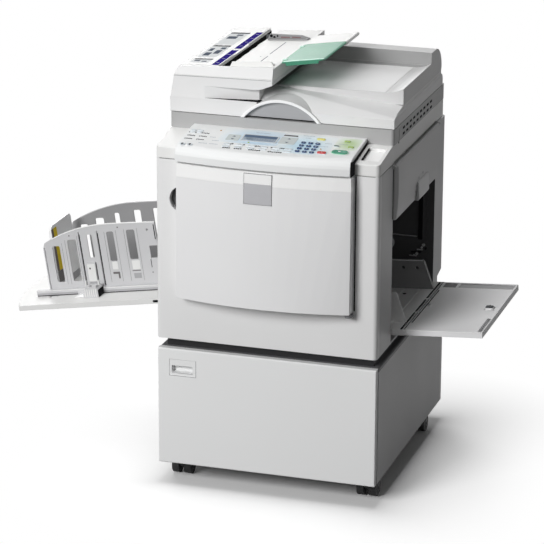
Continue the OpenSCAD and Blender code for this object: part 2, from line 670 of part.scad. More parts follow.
// It is cut off square where it meets the side of the main unit
module delivery_table() place() color("white") difference() {
    on_delivery_table() {
        r = bow_r((deliv_y1 - deliv_y0) / 2, deliv_bulge);
        difference() {
            translate([0, 0, -deliv_t]) linear_extrude(deliv_t) intersection() {
                translate([-deliv_len - deliv_bulge + r, paper_y]) circle(r, $fn = 180);
                rounded_plan(-deliv_len - deliv_bulge - 30, 8, deliv_y0, deliv_y1, 14);
            }
            // Hollow under its deck, slotted for the end plate, and pierced beside the fences
            slab(-deliv_len + 14, -24, deliv_y0 + 8, deliv_y1 - 8, -deliv_t - 1, -4);
            slab(-deliv_len + 26, -60, paper_y - 3, paper_y + 3, -deliv_t, 1);
            for (y = [228, 487]) slab(-411, -385, y, y + 17, -deliv_t, 1);
        }
        // The hinge brackets
        for (y = [deliv_y0 + 14, deliv_y1 - 42]) slab(-26, 2, y, y + 28, -deliv_t - 14, -3);
        for (y = [290, 430]) slab(-deliv_len + 13, -20, y, y + 4, -deliv_t, -3);
    }
    slab(-hw, skin - hw, deliv_y0 - 1, deliv_y1 + 1, deliv_z - 60, deliv_z + 20);
}

// A slot with round ends, from u0 to u1 and from w0 to w1
module slot(u0, u1, w0, w1) rounded_plan(u0, u1, w0, w1, 5);

module delivery_fence(side) {
    y = paper_y + side * deliv_fence_y;
    // Y runs outwards from the fence's inner face
    on_delivery_table() translate([0, y, 0]) mirror([0, side == 1 ? 0 : 1, 0]) {
        along_y(0, fence_t) difference() {
            intersection() {
                translate([-413, 0.3]) square([345, 220]);
                // Its top edge climbs in an arc from the outer end and then runs nearly level
                translate([-215, 198.5]) {
                    intersection() {
                        translate([0, -430]) circle(430, $fn = 240);
                        translate([-430, -430]) square([430, 431]);
                    }
                    intersection() {
                        translate([0, -3000]) circle(3000, $fn = 720);
                        translate([-1, -430]) square([431, 431]);
                    }
                }
                union() {
                    translate([-391, 0]) square([330, 220]);
                    translate([-414, 0]) square([60, 139]);
                    translate([-391, 139]) circle(22);
                }
            }
            slot(-387, -364, 36, 142);
            slot(-338, -312, 36, 158);
            slot(-277, -261.5, 102, 170);
            slot(-216, -195, 88, 175);
            slot(-156, -131, 90, 177);
            translate([-93, 91]) square([26, 36]);
            translate([-92.6, 174]) circle(3.5);
        }
        // Ribs round its edge and beside the block, and a stiffening plate, all on the outside
        for (u = [-303, -247]) slab(u, u + 3, fence_t, fence_t + 5, 10, 180);
        slab(-413, -410, fence_t, fence_t + 4, 10, 140);
        rounded_slab(-289, -263, fence_t, fence_t + 4, 30, 90, 1);
        // The rail in which it slides, and the block that is squeezed to free it
        slab(-452, -20, fence_t, fence_t + 12, 0.3, 17);
        along_y(fence_t + 12, 55) polygon([[-294, 0.3], [-248, 0.3], [-248, 22], [-254, 30], [-284, 30], [-294, 12]]);
        for (u = [-284, -264]) slab(u, u + 12, 40, 52, 29, 34);
    }
}

module delivery_fence_front() place() color("silver") delivery_fence(-1);
module delivery_fence_rear() place() color("darkgray") delivery_fence(1);

module end_plate() place() color("silver") on_delivery_table() {
    along_x(-end_u - 4, -end_u) translate([paper_y, 0.3])
        polygon([[-end_hw, 0], [end_hw, 0], [end_hw, 180], [end_hw - 8, 188.7], [8 - end_hw, 188.7], [-end_hw, 180]]);
    // Ribs on its back, and the foot that runs in the slot
    for (y = [-end_hw, -end_hw + 50, end_hw - 53, end_hw - 3])
        along_y(paper_y + y, paper_y + y + 3)
            polygon([[-end_u - 3, 0.3], [-end_u - 18, 0.3], [-end_u - 18, 9], [-end_u - 8, 176], [-end_u - 3, 178]]);
    slab(-end_u - 34, -end_u - 3, paper_y - 24, paper_y + 24, 0.3, 9);
    slab(-end_u - 30, -end_u - 10, paper_y - 2, paper_y + 2, -3, 1);
}

// ---------- casters ----------

// Casters stand on the floor, so their own heights start there
module at_caster(fx, fy)
    translate([fx * caster_x, fy == 0 ? caster_y0 : caster_y1, -caster_lift]) children();

module across(x0, x1, r) translate([x0, trail, wheel_r]) rotate([0, 90, 0]) cylinder(r = r, h = x1 - x0);

module caster_fork() {
    neck_z = wheel_r + 30;
    translate([0, 0, neck_z]) cylinder(r = 16, h = cab_z0 + 27 + caster_lift - neck_z);
    slab(-4, 4, -6, trail + 8, wheel_r + 2, neck_z + 2);
    across(-4, 4, 12);
    across(-wheel_out + 2, wheel_out - 2, axle_r);
}

module caster_wheels() for (side = [-1, 1]) difference() {
    across(side == 1 ? wheel_in : -wheel_out, side == 1 ? wheel_out : -wheel_in, wheel_r);
    across(-wheel_out - 1, wheel_out + 1, axle_r + 0.05);
}

module caster_fork_fl() place() color("black") at_caster(-1, 0) caster_fork();
module caster_wheels_fl() place() color("black") at_caster(-1, 0) caster_wheels();
module caster_fork_fr() place() color("black") at_caster(1, 0) caster_fork();
module caster_wheels_fr() place() color("black") at_caster(1, 0) caster_wheels();
module caster_fork_rl() place() color("black") at_caster(-1, 1) caster_fork();
module caster_wheels_rl() place() color("black") at_caster(-1, 1) caster_wheels();
module caster_fork_rr() place() color("black") at_caster(1, 1) caster_fork();
module caster_wheels_rr() place() color("black") at_caster(1, 1) caster_wheels();

cabinet_sides();
cabinet_floor();
cabinet_top();
cabinet_back();
cabinet_door();
base_plinth();
front_frame();
side_panel_left();
side_panel_right();
rear_housing();
top_cover();
drum_bay_frame();
feed_bay_frame();
rear_frame();
inner_deck();
print_drum();
master_roll();
feed_roller();
operation_panel();
lcd_screen();
key_pad();
start_key();
stop_key();
mode_keys();
scanner_body();
platen_glass();
front_door();
door_band();
badge_plate();
right_cover();
cover_latch();
platen_cover();
exit_tray();
feeder_body();
feeder_cover();
original_table();
original_flap();
guide_front();
guide_rear();
feed_table();
feed_fence_front();
feed_fence_rear();
feed_extension();
delivery_table();
delivery_fence_front();
delivery_fence_rear();
end_plate();
caster_fork_fl();
caster_wheels_fl();
caster_fork_fr();
caster_wheels_fr();
caster_fork_rl();
caster_wheels_rl();
caster_fork_rr();
caster_wheels_rr();
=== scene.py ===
# Looks of a digital duplicator on its cabinet: materials, printed zones, small fittings, camera and light
import math
import bmesh
import bpy
from mathutils import Matrix, Vector


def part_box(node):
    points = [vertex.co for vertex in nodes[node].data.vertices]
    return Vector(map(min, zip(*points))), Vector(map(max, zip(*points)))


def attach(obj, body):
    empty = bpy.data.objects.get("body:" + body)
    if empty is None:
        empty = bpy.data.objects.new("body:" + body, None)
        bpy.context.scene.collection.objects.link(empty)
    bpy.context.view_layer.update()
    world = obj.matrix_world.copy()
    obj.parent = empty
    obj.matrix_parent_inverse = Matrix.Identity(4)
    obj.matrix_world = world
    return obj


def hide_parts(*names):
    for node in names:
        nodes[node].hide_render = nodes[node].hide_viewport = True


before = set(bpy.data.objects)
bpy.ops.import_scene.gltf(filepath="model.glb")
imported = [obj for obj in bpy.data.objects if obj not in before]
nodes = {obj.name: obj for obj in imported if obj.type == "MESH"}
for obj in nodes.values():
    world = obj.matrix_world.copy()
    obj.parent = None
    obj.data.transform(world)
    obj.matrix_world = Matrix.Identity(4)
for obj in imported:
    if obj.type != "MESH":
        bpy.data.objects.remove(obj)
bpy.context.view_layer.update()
print("frame loaded,", len(nodes), "CAD nodes")


# ---- where things are ----

scannerLow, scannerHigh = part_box("scanner_body")
middleX = (scannerLow.x + scannerHigh.x) / 2
scannerSetback = 0.129      # metres from the main unit's front face back to the scanner's
frontY = scannerLow.y - scannerSetback
casterLift = 26             # millimetres by which the casters raise everything


def at(x, y, z):
    # millimetres from the middle of the main unit's front face; heights leave out the casters' lift
    return Vector((middleX + x / 1000, frontY + y / 1000, (z + casterLift) / 1000))


def slope(rise, run):
    return math.degrees(math.atan2(rise, run))


def tilted(x, y, z, axis, degrees):
    return Matrix.Translation(at(x, y, z)) @ Matrix.Rotation(math.radians(degrees), 4, axis)


def facing(x, y, z, across, up, out):
    # a frame whose local X, Y and Z run along these three directions of the machine
    return Matrix.Translation(at(x, y, z)) @ Matrix((across, up, out)).transposed().to_4x4()


def facingFront(x, y, z):
    return facing(x, y, z, (1, 0, 0), (0, 0, 1), (0, -1, 0))


upright = Matrix.Translation(at(0, 0, 0))
onFront = facingFront(0, 0, 0)
onRight = facing(0, 0, 0, (0, 1, 0), (0, 0, 1), (1, 0, 0))
onLeft = facing(0, 0, 0, (0, 1, 0), (0, 0, 1), (-1, 0, 0))
onBack = facing(0, 0, 0, (1, 0, 0), (0, 0, 1), (0, 1, 0))
onPanel = tilted(0, -40, 951, "X", slope(23, 169))
onShoulder = tilted(0, 2, 939, "X", slope(20, 127))
onFeedTable = tilted(310, 0, 440.5, "Y", -3.9)
onDeliveryTable = tilted(-310, 0, 462.7, "Y", -9)
onOriginals = tilted(-160, 0, 1128, "Y", -slope(10, 134))
onFeederCover = tilted(-290, 0, 1128, "Y", -slope(14, 260))
onFlap = tilted(-25, 0, 1142, "Y", -slope(18, 117))
onTray = tilted(-20, 0, 1074, "Y", -slope(2, 280))
standing = Matrix(((1, 0, 0, 0), (0, 0, -1, 0), (0, 1, 0, 0), (0, 0, 0, 1)))     # upright in a sloping frame
onBadge = tilted(0, -53.8, 861, "X", -2.45) @ standing
wallBack, wallUp = 8.5 / 35.05, 34 / 35.05      # the lean of the exit tray's rear wall
onWall = facing(0, 524.5, 1085, (1, 0, 0), (0, wallBack, wallUp), (0, -wallUp, wallBack))


# ---- camera ----

cameraSettings = {"place": (2214.05, -6999.2, 2996.25), "yaw": 17.424, "pitch": 17.956, "roll": 0.276,
                  "lens": 191.3, "sensor": 36, "farthest": 60}


def makeCamera(s):
    data = bpy.data.cameras.new("camera")
    data.lens, data.sensor_width, data.clip_end = s["lens"], s["sensor"], s["farthest"]
    camera = bpy.data.objects.new("camera", data)
    bpy.context.collection.objects.link(camera)
    turn = (Matrix.Rotation(math.radians(s["yaw"]), 4, "Z")
            @ Matrix.Rotation(math.radians(90 - s["pitch"]), 4, "X")
            @ Matrix.Rotation(math.radians(s["roll"]), 4, "Z"))
    camera.matrix_world = Matrix.Translation(at(*s["place"])) @ turn
    bpy.context.scene.camera = camera


makeCamera(cameraSettings)
print("camera placed")


# ---- shader maths ----

class Wire:
    # one socket of a material's node tree; sums of wires add Math nodes
    def __init__(self, tree, socket=None):
        self.tree, self.socket = tree, socket

    def node(self, kind, settings=None, inputs=None, out=0):
        made = self.tree.nodes.new(kind)
        for name, value in (settings or {}).items():
            setattr(made, name, value)
        for name, value in (inputs or {}).items():
            if isinstance(value, Wire):
                self.tree.links.new(value.socket, made.inputs[name])
            else:
                made.inputs[name].default_value = value
        return Wire(self.tree, made.outputs[out])

    def calc(self, operation, *values):
        return self.node("ShaderNodeMath", {"operation": operation}, dict(enumerate(values)))

    def size(self):
        return self.calc("ABSOLUTE", self)

    def atLeast(self, low):
        return self.calc("MAXIMUM", self, low)

    def clamped(self, low=0.0, high=1.0):
        return self.calc("MINIMUM", self.atLeast(low), high)

    def blend(self, first, second):
        # a colour between two colours, by this wire
        return self.node("ShaderNodeMix", {"data_type": "RGBA"}, {0: self, 6: first, 7: second}, out=2)

    def __add__(self, other): return self.calc("ADD", self, other)
    def __radd__(self, other): return self.calc("ADD", other, self)
    def __sub__(self, other): return self.calc("SUBTRACT", self, other)
    def __rsub__(self, other): return self.calc("SUBTRACT", other, self)
    def __mul__(self, other): return self.calc("MULTIPLY", self, other)
    def __rmul__(self, other): return self.calc("MULTIPLY", other, self)
    def __truediv__(self, other): return self.calc("DIVIDE", self, other)
    def __rtruediv__(self, other): return self.calc("DIVIDE", other, self)
    def __pow__(self, other): return self.calc("POWER", self, other)


def rgba(colour, gain=1.0):
    return tuple(min(1.0, c * gain) for c in colour) + (1.0,)


def grey(level):
    return (level, level, level, 1)


def startMaterial(name):
    # a new material with its shader and the coordinates that every pattern starts from
    material = bpy.data.materials.new(name)
    material.use_nodes = True
    shader = material.node_tree.nodes["Principled BSDF"]
    return material, shader, Wire(material.node_tree).node("ShaderNodeTexCoord", out=3)


def join(wire, shader, socket):
    wire.tree.links.new(wire.socket, shader.inputs[socket])


def noise(place, scale, detail=3.0, roughness=0.5):
    return place.node("ShaderNodeTexNoise", None,
                      {"Vector": place, "Scale": scale, "Detail": detail, "Roughness": roughness})


def stretched(place, scales, detail, roughness=0.5):
    # noise drawn out into lines
    lengthened = place.node("ShaderNodeMapping", None, {"Vector": place, "Scale": scales})
    return noise(lengthened, 1.0, detail, roughness)


def dotScreen(place, scale):
    return place.node("ShaderNodeTexVoronoi", None, {"Vector": place, "Scale": scale})


def part(place, index):
    return place.node("ShaderNodeSeparateXYZ", None, {0: place}, out=index)


def tint(shader, pattern, colour, low, high):
    # the colour, from its lower to its higher tone as the pattern goes from 0 to 1
    join(pattern.blend(rgba(colour, low), rgba(colour, high)), shader, "Base Color")


def roughen(shader, base, pattern, swing, low=0.0):
    # roughness that swings round its base with a pattern
    join((base + (pattern - 0.5) * swing).clamped(low, 1), shader, "Roughness")


def relief(shader, height, depth, edge=0.0):
    # bumps of this depth, over edges that look rounded by this radius; both in metres
    inputs = {"Strength": 1.0, "Distance": depth, "Height": height}
    if edge:
        inputs["Normal"] = height.node("ShaderNodeBevel", {"samples": 4}, {"Radius": edge})
    join(height.node("ShaderNodeBump", None, inputs), shader, "Normal")


# ---- finishes ----

def mouldedPlastic(shader, place, settings):
    # injection-moulded plastic: spark-eroded grain, slight drift of tone, soft edges, handling marks
    s = dict(roughness=0.5, grainScale=1500, grainDepth=0.00006, drift=0.03, smudges=0.16, edge=0.0012,
             specular=0.25)
    s.update(settings)
    drift = (noise(place, 2.5, 2) * 1.6 - 0.3).clamped()
    tint(shader, drift, s["colour"], 1 - s["drift"], 1 + s["drift"])
    roughen(shader, s["roughness"], noise(place, 22, 4, 0.6), s["smudges"], 0.05)
    relief(shader, noise(place, s["grainScale"], 2), s["grainDepth"], s["edge"])
    shader.inputs["Specular IOR Level"].default_value = s["specular"]


def paintedSteel(shader, place, settings):
    # powder-coated sheet: orange peel under an even satin
    s = dict(roughness=0.48, peelScale=420, peelDepth=0.00012, drift=0.02, edge=0.0015, specular=0.15)
    s.update(settings)
    drift = ((noise(place, 1.8, 2) - 0.5) * 1.2 + 0.5).clamped()
    tint(shader, drift, s["colour"], 1 - s["drift"], 1 + s["drift"])
    flecks = noise(place, 2600, 1)
    roughen(shader, s["roughness"] + (flecks - 0.5) * 0.05, noise(place, 9, 3), 0.14, 0.1)
    relief(shader, noise(place, s["peelScale"], 1, 0.4), s["peelDepth"], s["edge"])
    shader.inputs["Specular IOR Level"].default_value = s["specular"]


def brushedMetal(shader, place, settings):
    # fine lines along one direction
    s = dict(roughness=0.32, stretch=(4, 900, 900), depth=0.00003, metallic=1.0)
    s.update(settings)
    lines = stretched(place, s["stretch"], 3, 0.6)
    tarnish = noise(place, 14, 4)
    tint(shader, tarnish * 0.6 + lines * 0.4, s["colour"], 0.9, 1.08)
    roughen(shader, s["roughness"] + (tarnish - 0.5) * 0.1, lines, 0.2, 0.08)
    relief(shader, lines, s["depth"])
    shader.inputs["Metallic"].default_value = s["metallic"]


def rubber(shader, place, s):
    dust = (noise(place, 45, 5, 0.65) * 2.2 - 0.9).clamped() * s["dust"]
    join(dust.blend(rgba(s["colour"]), rgba((0.22, 0.21, 0.2))), shader, "Base Color")
    roughen(shader, 0.72, noise(place, 160, 3), 0.2, 0.2)
    relief(shader, noise(place, 900, 2), 0.0001)


def printedInk(shader, place, settings):
    # a screen-printed zone: a fine dot screen over the tint
    s = dict(roughness=0.6)
    s.update(settings)
    tint(shader, (dotScreen(place, 1400.0) * 0.5).clamped(), s["colour"], 1.0, 1.1)
    roughen(shader, s["roughness"], noise(place, 60, 3), 0.12)
    shader.inputs["Specular IOR Level"].default_value = 0.0


def fadingInk(shader, place, s):
    # a tint printed strongest round one point of the panel and fading out from it
    centre = at(*s["middle"])
    sideways = (part(place, 0) - centre.x) / (s["reach"][0] / 1000)
    upwards = (part(place, 1) - centre.y) / (s["reach"][1] / 1000)
    strength = (1.25 - (sideways * sideways + upwards * upwards) ** 0.5).clamped()
    printed = (strength * (0.92 + dotScreen(place, 1500.0) * 0.16)).clamped()
    join(printed.blend(rgba(s["bare"]), rgba(s["colour"])), shader, "Base Color")
    roughen(shader, 0.38, noise(place, 60, 3), 0.12)
    shader.inputs["Specular IOR Level"].default_value = 0.25


def glossKey(shader, place, settings):
    s = dict(roughness=0.25, coat=0.35, edge=0.0009)
    s.update(settings)
    tint(shader, (noise(place, 60, 2) * 1.4 - 0.2).clamped(), s["colour"], 0.94, 1.06)
    roughen(shader, s["roughness"], noise(place, 240, 3), 0.16, 0.05)
    relief(shader, noise(place, 1800, 1), 0.00002, s["edge"])
    shader.inputs["Coat Weight"].default_value = s["coat"]
    shader.inputs["Coat Roughness"].default_value = 0.12


def displayGlass(shader, place, s):
    # the dimmed display: lines of dark cells under a glossy pane
    cells = place.node("ShaderNodeTexBrick", {"offset": 0.0},
                       {"Vector": place, "Scale": 240.0, "Mortar Size": 0.02, "Color1": rgba(s["colour"]),
                        "Color2": rgba(s["colour"], 0.93), "Mortar": rgba(s["colour"], 0.8)})
    join(cells, shader, "Base Color")
    roughen(shader, 0.14, noise(place, 30, 3), 0.08)
    shader.inputs["Coat Weight"].default_value = 0.8
    shader.inputs["Coat Roughness"].default_value = 0.04


def clearPlastic(shader, place, s):
    haze = noise(place, 12, 3)
    tint(shader, haze, s["colour"], 0.95, 1.05)
    join((s["alpha"] + (haze - 0.5) * 0.06).clamped(), shader, "Alpha")
    roughen(shader, s["roughness"], noise(place, 90, 3), 0.1, 0.03)
    shader.inputs["Specular IOR Level"].default_value = 0.2


def coiledPaper(shader, place, s):
    layers = stretched(place, (900, 6, 900), 2)
    tint(shader, layers, s["colour"], 0.9, 1.0)
    roughen(shader, 0.75, layers, 0.2)
    relief(shader, layers, 0.00008)


finishTables = (
    (mouldedPlastic, {
        "shellWhite": dict(colour=(0.85, 0.85, 0.84)),
        "shellGrey": dict(colour=(0.82, 0.82, 0.82)),
        "doorGrey": dict(colour=(0.83, 0.83, 0.835), roughness=0.46),
        "coverGrey": dict(colour=(0.79, 0.79, 0.79)),
        "scannerGrey": dict(colour=(0.43, 0.43, 0.43), roughness=0.55),
        "trayGrey": dict(colour=(0.66, 0.66, 0.66)),
        # trayFloor: the exit tray's floor painted lighter, as painted light
        "trayFloor": dict(colour=(0.93, 0.93, 0.93)),
        # rimWhite: brighter than the shell's white, for painted highlights on rims and edges and painted
        # light on the clip tray's floor
        "rimWhite": dict(colour=(0.96, 0.96, 0.955)),
        # wallGrey: the exit tray's rear wall painted darker, as painted shade
        "wallGrey": dict(colour=(0.31, 0.31, 0.31)),
        "latchGrey": dict(colour=(0.66, 0.66, 0.665)),
        # bandWhite: a lighter copy of the door's white, painted light on the door's top band and the badge's
        # upper part, and brightening the feed table and its front fence where they sit in shade
        "bandWhite": dict(colour=(0.93, 0.93, 0.925)),
        "gripGrey": dict(colour=(0.40, 0.40, 0.41), roughness=0.55),
        "darkBase": dict(colour=(0.028, 0.028, 0.03), roughness=0.6, grainDepth=0.0001),
        "linerBlack": dict(colour=(0.010, 0.010, 0.011), roughness=0.8, specular=0.05),
        "panelWhite": dict(colour=(0.86, 0.87, 0.87), roughness=0.36, edge=0.0025),
        "fenceGrey": dict(colour=(0.60, 0.60, 0.61), roughness=0.44),
        "fenceRear": dict(colour=(0.30, 0.30, 0.305)),
        "fenceDark": dict(colour=(0.17, 0.16, 0.16)),
        "plateGrey": dict(colour=(0.95, 0.95, 0.95), roughness=0.44),
        "tableWhite": dict(colour=(0.80, 0.80, 0.79)),
        "tableGrey": dict(colour=(0.90, 0.90, 0.905)),
        "padRed": dict(colour=(0.22, 0.13, 0.135)),
        "capGrey": dict(colour=(0.035, 0.035, 0.037), roughness=0.4)}),
    (paintedSteel, {
        # sideGrey: the sides and back painted darker than the front, as painted shade
        "sideGrey": dict(colour=(0.56, 0.56, 0.565)),
        "cabinetPaint": dict(colour=(0.88, 0.885, 0.885)),
        "cabinetTop": dict(colour=(0.13, 0.13, 0.135), roughness=0.55),
        "innerDark": dict(colour=(0.085, 0.085, 0.088), roughness=0.6)}),
    (brushedMetal, {
        "drumSteel": dict(colour=(0.42, 0.42, 0.43), stretch=(900, 5, 900)),
        "pinSteel": dict(colour=(0.62, 0.62, 0.63), stretch=(600, 600, 40)),
        "plateSilver": dict(colour=(0.37, 0.37, 0.385), roughness=0.4, metallic=0.6)}),
    (rubber, {
        "casterRubber": dict(colour=(0.012, 0.012, 0.013), dust=0.04),
        "rollerRubber": dict(colour=(0.05, 0.055, 0.06), dust=0.2),
        "rollerGrey": dict(colour=(0.20, 0.20, 0.21), dust=0.1)}),
    (printedInk, {
        "printGrey": dict(colour=(0.13, 0.15, 0.19)),
        "printFaint": dict(colour=(0.36, 0.40, 0.45)),
        "printDark": dict(colour=(0.018, 0.02, 0.028)),
        "printPale": dict(colour=(0.82, 0.84, 0.85)),
        "printViolet": dict(colour=(0.040, 0.028, 0.24)),
        "printShade": dict(colour=(0.12, 0.165, 0.24), roughness=0.2),
        "padGrey": dict(colour=(0.58, 0.62, 0.62)),
        "stripYellow": dict(colour=(0.80, 0.60, 0.06)),
        # stripBrown: a brown standing for the end plate's shaded front edge, as painted shade
        "stripBrown": dict(colour=(0.22, 0.19, 0.17))}),
    (fadingInk, {
        "tintBlue": dict(colour=(0.50, 0.68, 0.84), bare=(0.84, 0.87, 0.88), middle=(-40, 60, 966),
                         reach=(90, 62)),
        "tintCyan": dict(colour=(0.56, 0.76, 0.88), bare=(0.84, 0.88, 0.89), middle=(92, 45, 963),
                         reach=(66, 62)),
        "tintLime": dict(colour=(0.50, 0.64, 0.36), bare=(0.84, 0.87, 0.85), middle=(206, 80, 968),
                         reach=(34, 44))}),
    (glossKey, {
        "keyBlue": dict(colour=(0.008, 0.045, 0.15)),
        "keyGreen": dict(colour=(0.015, 0.26, 0.15)),
        "keyRed": dict(colour=(0.60, 0.05, 0.05)),
        "keyGrey": dict(colour=(0.60, 0.64, 0.66), roughness=0.4, coat=0.1),
        "keyPale": dict(colour=(0.68, 0.73, 0.76), roughness=0.4, coat=0.1),
        "keyYellow": dict(colour=(0.72, 0.66, 0.16)),
        "keyLime": dict(colour=(0.36, 0.52, 0.12)),
        "keyBottle": dict(colour=(0.03, 0.09, 0.07)),
        "ringGreen": dict(colour=(0.42, 0.72, 0.55)),
        "lampAmber": dict(colour=(0.50, 0.30, 0.12)),
        "barBlack": dict(colour=(0.006, 0.006, 0.008), roughness=0.1, coat=0.8)}),
    (clearPlastic, {
        "platenGlass": dict(colour=(0.55, 0.65, 0.63), alpha=0.5, roughness=0.05),
        "flapGreen": dict(colour=(0.075, 0.30, 0.19), alpha=0.93, roughness=0.4),
        "flapLip": dict(colour=(0.34, 0.66, 0.52), alpha=0.92, roughness=0.3)}),
    (displayGlass, {"lcdBlue": dict(colour=(0.35, 0.43, 0.52))}),
    (coiledPaper, {"rollPaper": dict(colour=(0.82, 0.81, 0.77))}),
)
coatedNodes = {
    "shellWhite": ["top_cover", "feeder_cover", "original_table", "guide_front"],
    "shellGrey": ["front_frame", "feeder_body"],
    "doorGrey": ["front_door"],
    # the door's top band, the feed table and its front fence in a lighter white, as painted light
    "bandWhite": ["door_band", "feed_table", "feed_fence_front"],
    "coverGrey": ["platen_cover"],
    "scannerGrey": ["scanner_body"],
    "trayGrey": ["exit_tray"],
    "latchGrey": ["cover_latch"],
    "panelWhite": ["operation_panel"],
    # the sides and back in a darker grey than the front, as painted shade
    "sideGrey": ["cabinet_sides", "side_panel_left", "side_panel_right", "rear_housing", "right_cover"],
    "cabinetPaint": ["cabinet_floor", "cabinet_back", "cabinet_door"],
    "cabinetTop": ["cabinet_top"],
    "darkBase": ["base_plinth"],
    "innerDark": ["drum_bay_frame", "feed_bay_frame", "rear_frame", "inner_deck"],
    "drumSteel": ["print_drum"],
    "plateSilver": ["badge_plate"],
    "rollPaper": ["master_roll"],
    "rollerRubber": ["feed_roller"],
    "casterRubber": [name for name in nodes if name.startswith("caster_")],
    "lcdBlue": ["lcd_screen"],
    "keyBlue": ["key_pad"],
    "keyGreen": ["start_key"],
    "keyRed": ["stop_key"],
    "keyPale": ["mode_keys"],
    "platenGlass": ["platen_glass"],
    "flapGreen": ["original_flap"],
    "fenceGrey": ["delivery_fence_front"],
    "fenceRear": ["delivery_fence_rear", "feed_fence_rear"],
    "fenceDark": ["guide_rear"],
    "plateGrey": ["end_plate"],
    "tableWhite": ["delivery_table"],
    "tableGrey": ["feed_extension"],
}
finishes = {}
for coat, table in finishTables:
    for finishName, settings in table.items():
        finishes[finishName], shader, place = startMaterial(finishName)
        coat(shader, place, settings)
for finishName, nodeNames in coatedNodes.items():
    for nodeName in nodeNames:
        nodes[nodeName].data.materials.clear()
        nodes[nodeName].data.materials.append(finishes[finishName])
print("finishes made and assigned,", len(finishes), "finishes")


# ---- ways to make a piece ----

def keep(mesh, name, finish, body, slotName, soften=0.0):
    piece = bpy.data.objects.new(name, mesh)
    bpy.context.collection.objects.link(piece)
    mesh.materials.append(finishes[finish])
    if soften:
        bevel = piece.modifiers.new("soften", "BEVEL")
        bevel.width, bevel.segments, bevel.limit_method = soften, 2, "ANGLE"
    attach(piece, body)
    return piece


def rect(x0, x1, y0, y1):
    return [(x0, y0), (x1, y0), (x1, y1), (x0, y1)]


def rounded(x0, x1, y0, y1, radius, steps=6):
    corners = [(x1 - radius, y1 - radius, 0), (x0 + radius, y1 - radius, 90),
               (x0 + radius, y0 + radius, 180), (x1 - radius, y0 + radius, 270)]
    return [(cx + radius * math.cos(math.radians(start + 90 * i / steps)),
             cy + radius * math.sin(math.radians(start + 90 * i / steps)))
            for cx, cy, start in corners for i in range(steps + 1)]


def oval(x, y, wide, tall, steps):
    return [(x + wide * math.cos(2 * math.pi * i / steps), y + tall * math.sin(2 * math.pi * i / steps))
            for i in range(steps)]


def disc(x, y, radius, steps=20):
    return oval(x, y, radius, radius, steps)


def padAround(x, y, halfWidth, halfHeight, radius):
    return rounded(x - halfWidth, x + halfWidth, y - halfHeight, y + halfHeight, radius)


def barAround(x, y, halfWidth, halfHeight):
    return rect(x - halfWidth, x + halfWidth, y - halfHeight, y + halfHeight)


def spaced(first, pitch, count):
    return [first + pitch * i for i in range(count)]


def addPlate(mesh, outline, low, high, frameOf):
    # a flat plate of this outline, in millimetres in the frame of what carries it
    rings = [[mesh.verts.new(frameOf @ Vector((x / 1000, y / 1000, z / 1000))) for x, y in outline]
             for z in (low, high)]
    mesh.faces.new(list(reversed(rings[0])))
    mesh.faces.new(rings[1])
    count = len(outline)
    for i in range(count):
        j = (i + 1) % count
        mesh.faces.new((rings[0][i], rings[0][j], rings[1][j], rings[1][i]))


def settle(mesh, name):
    bmesh.ops.recalc_face_normals(mesh, faces=mesh.faces)
    data = bpy.data.meshes.new(name)
    mesh.to_mesh(data)
    mesh.free()
    return data


def fit(frameOf, body, slotName, rows):
    # flat pieces on one face. Each row: outlines, their start and end outwards from the face (all in mm), the
    # finish and, where the edges are softened, by how much (m)
    for name, (outlines, low, high, finish, *soften) in rows.items():
        mesh = bmesh.new()
        for outline in outlines:
            addPlate(mesh, outline, low, high, frameOf)
        keep(settle(mesh, name), name, finish, body, slotName, *soften)


def turned(name, profile, places, frameOf, finish, body, slotName, steps):
    # turned pieces: a profile of (radius, height) round the local Z of each place
    mesh = bmesh.new()
    for place in places:
        rings = []
        for radius, height in profile:
            rings.append([mesh.verts.new(frameOf @ Vector((
                (place[0] + radius * math.cos(2 * math.pi * i / steps)) / 1000,
                (place[1] + radius * math.sin(2 * math.pi * i / steps)) / 1000,
                (place[2] + height) / 1000))) for i in range(steps)])
        for lower, upper in zip(rings, rings[1:]):
            for i in range(steps):
                j = (i + 1) % steps
                mesh.faces.new((lower[i], lower[j], upper[j], upper[i]))
        mesh.faces.new(list(reversed(rings[0])))
        mesh.faces.new(rings[-1])
    data = settle(mesh, name)
    for face in data.polygons:
        face.use_smooth = len(face.vertices) == 4
    keep(data, name, finish, body, slotName)


# ---- operation panel ----

panelSettings = {
    # strokes that stand for words: pitch, width, reach below and above, and how far every other one is raised
    "bigStroke": (4.5, 3.2, 2.8, 2.4, 1), "rowStroke": (5.6, 4.2, 3.2, 2.6, 1),
    "faintStroke": (4, 2.8, 1.2, 1.2, 0),
    # where they start and end, and their height on the panel
    "big": [(-239, -212, 111), (-203, -178, 111), (-236, -213, 89), (-203, -179, 89), (-237, -212, 67),
            (-204, -180, 67)],
    "faint": [(-190, -166, 45), (-160, -134, 45), (-160, -138, 68), (-172, -156, 89), (128, 158, 91),
              (80, 98, 137), (140, 160, 112), (176, 206, 116), (-60, -20, 144), (70, 104, 151)],
    # where they start, their height and their number
    "rows": [(-118, 57, 4), (-86, 57, 4), (-46, 56, 6), (8, 55, 7), (-118, 28, 4), (-86, 28, 4), (-46, 28, 6),
             (8, 27, 7)],
    "icons": [(-229, 27), (-208, 27)],
    "lampShape": [(2.6, 0), (2.6, 0.6), (2.0, 1.3), (0.8, 1.6)],
    "lamps": {"lampAmber": [(-157.5, 137, 0.1), (140, 72, 0.1)],
              "keyLime": [(-60, 74, 0.1), (112, 137, 0.1)]},
    "keyCorner": 3.4,
    "digits": ("*0#", "789", "456", "123"), "digitStart": (84, 44, 3.05), "digitPitch": (19.6, 19.5),
    "digitHeight": 0.0058, "digitDepth": 0.00008,
}


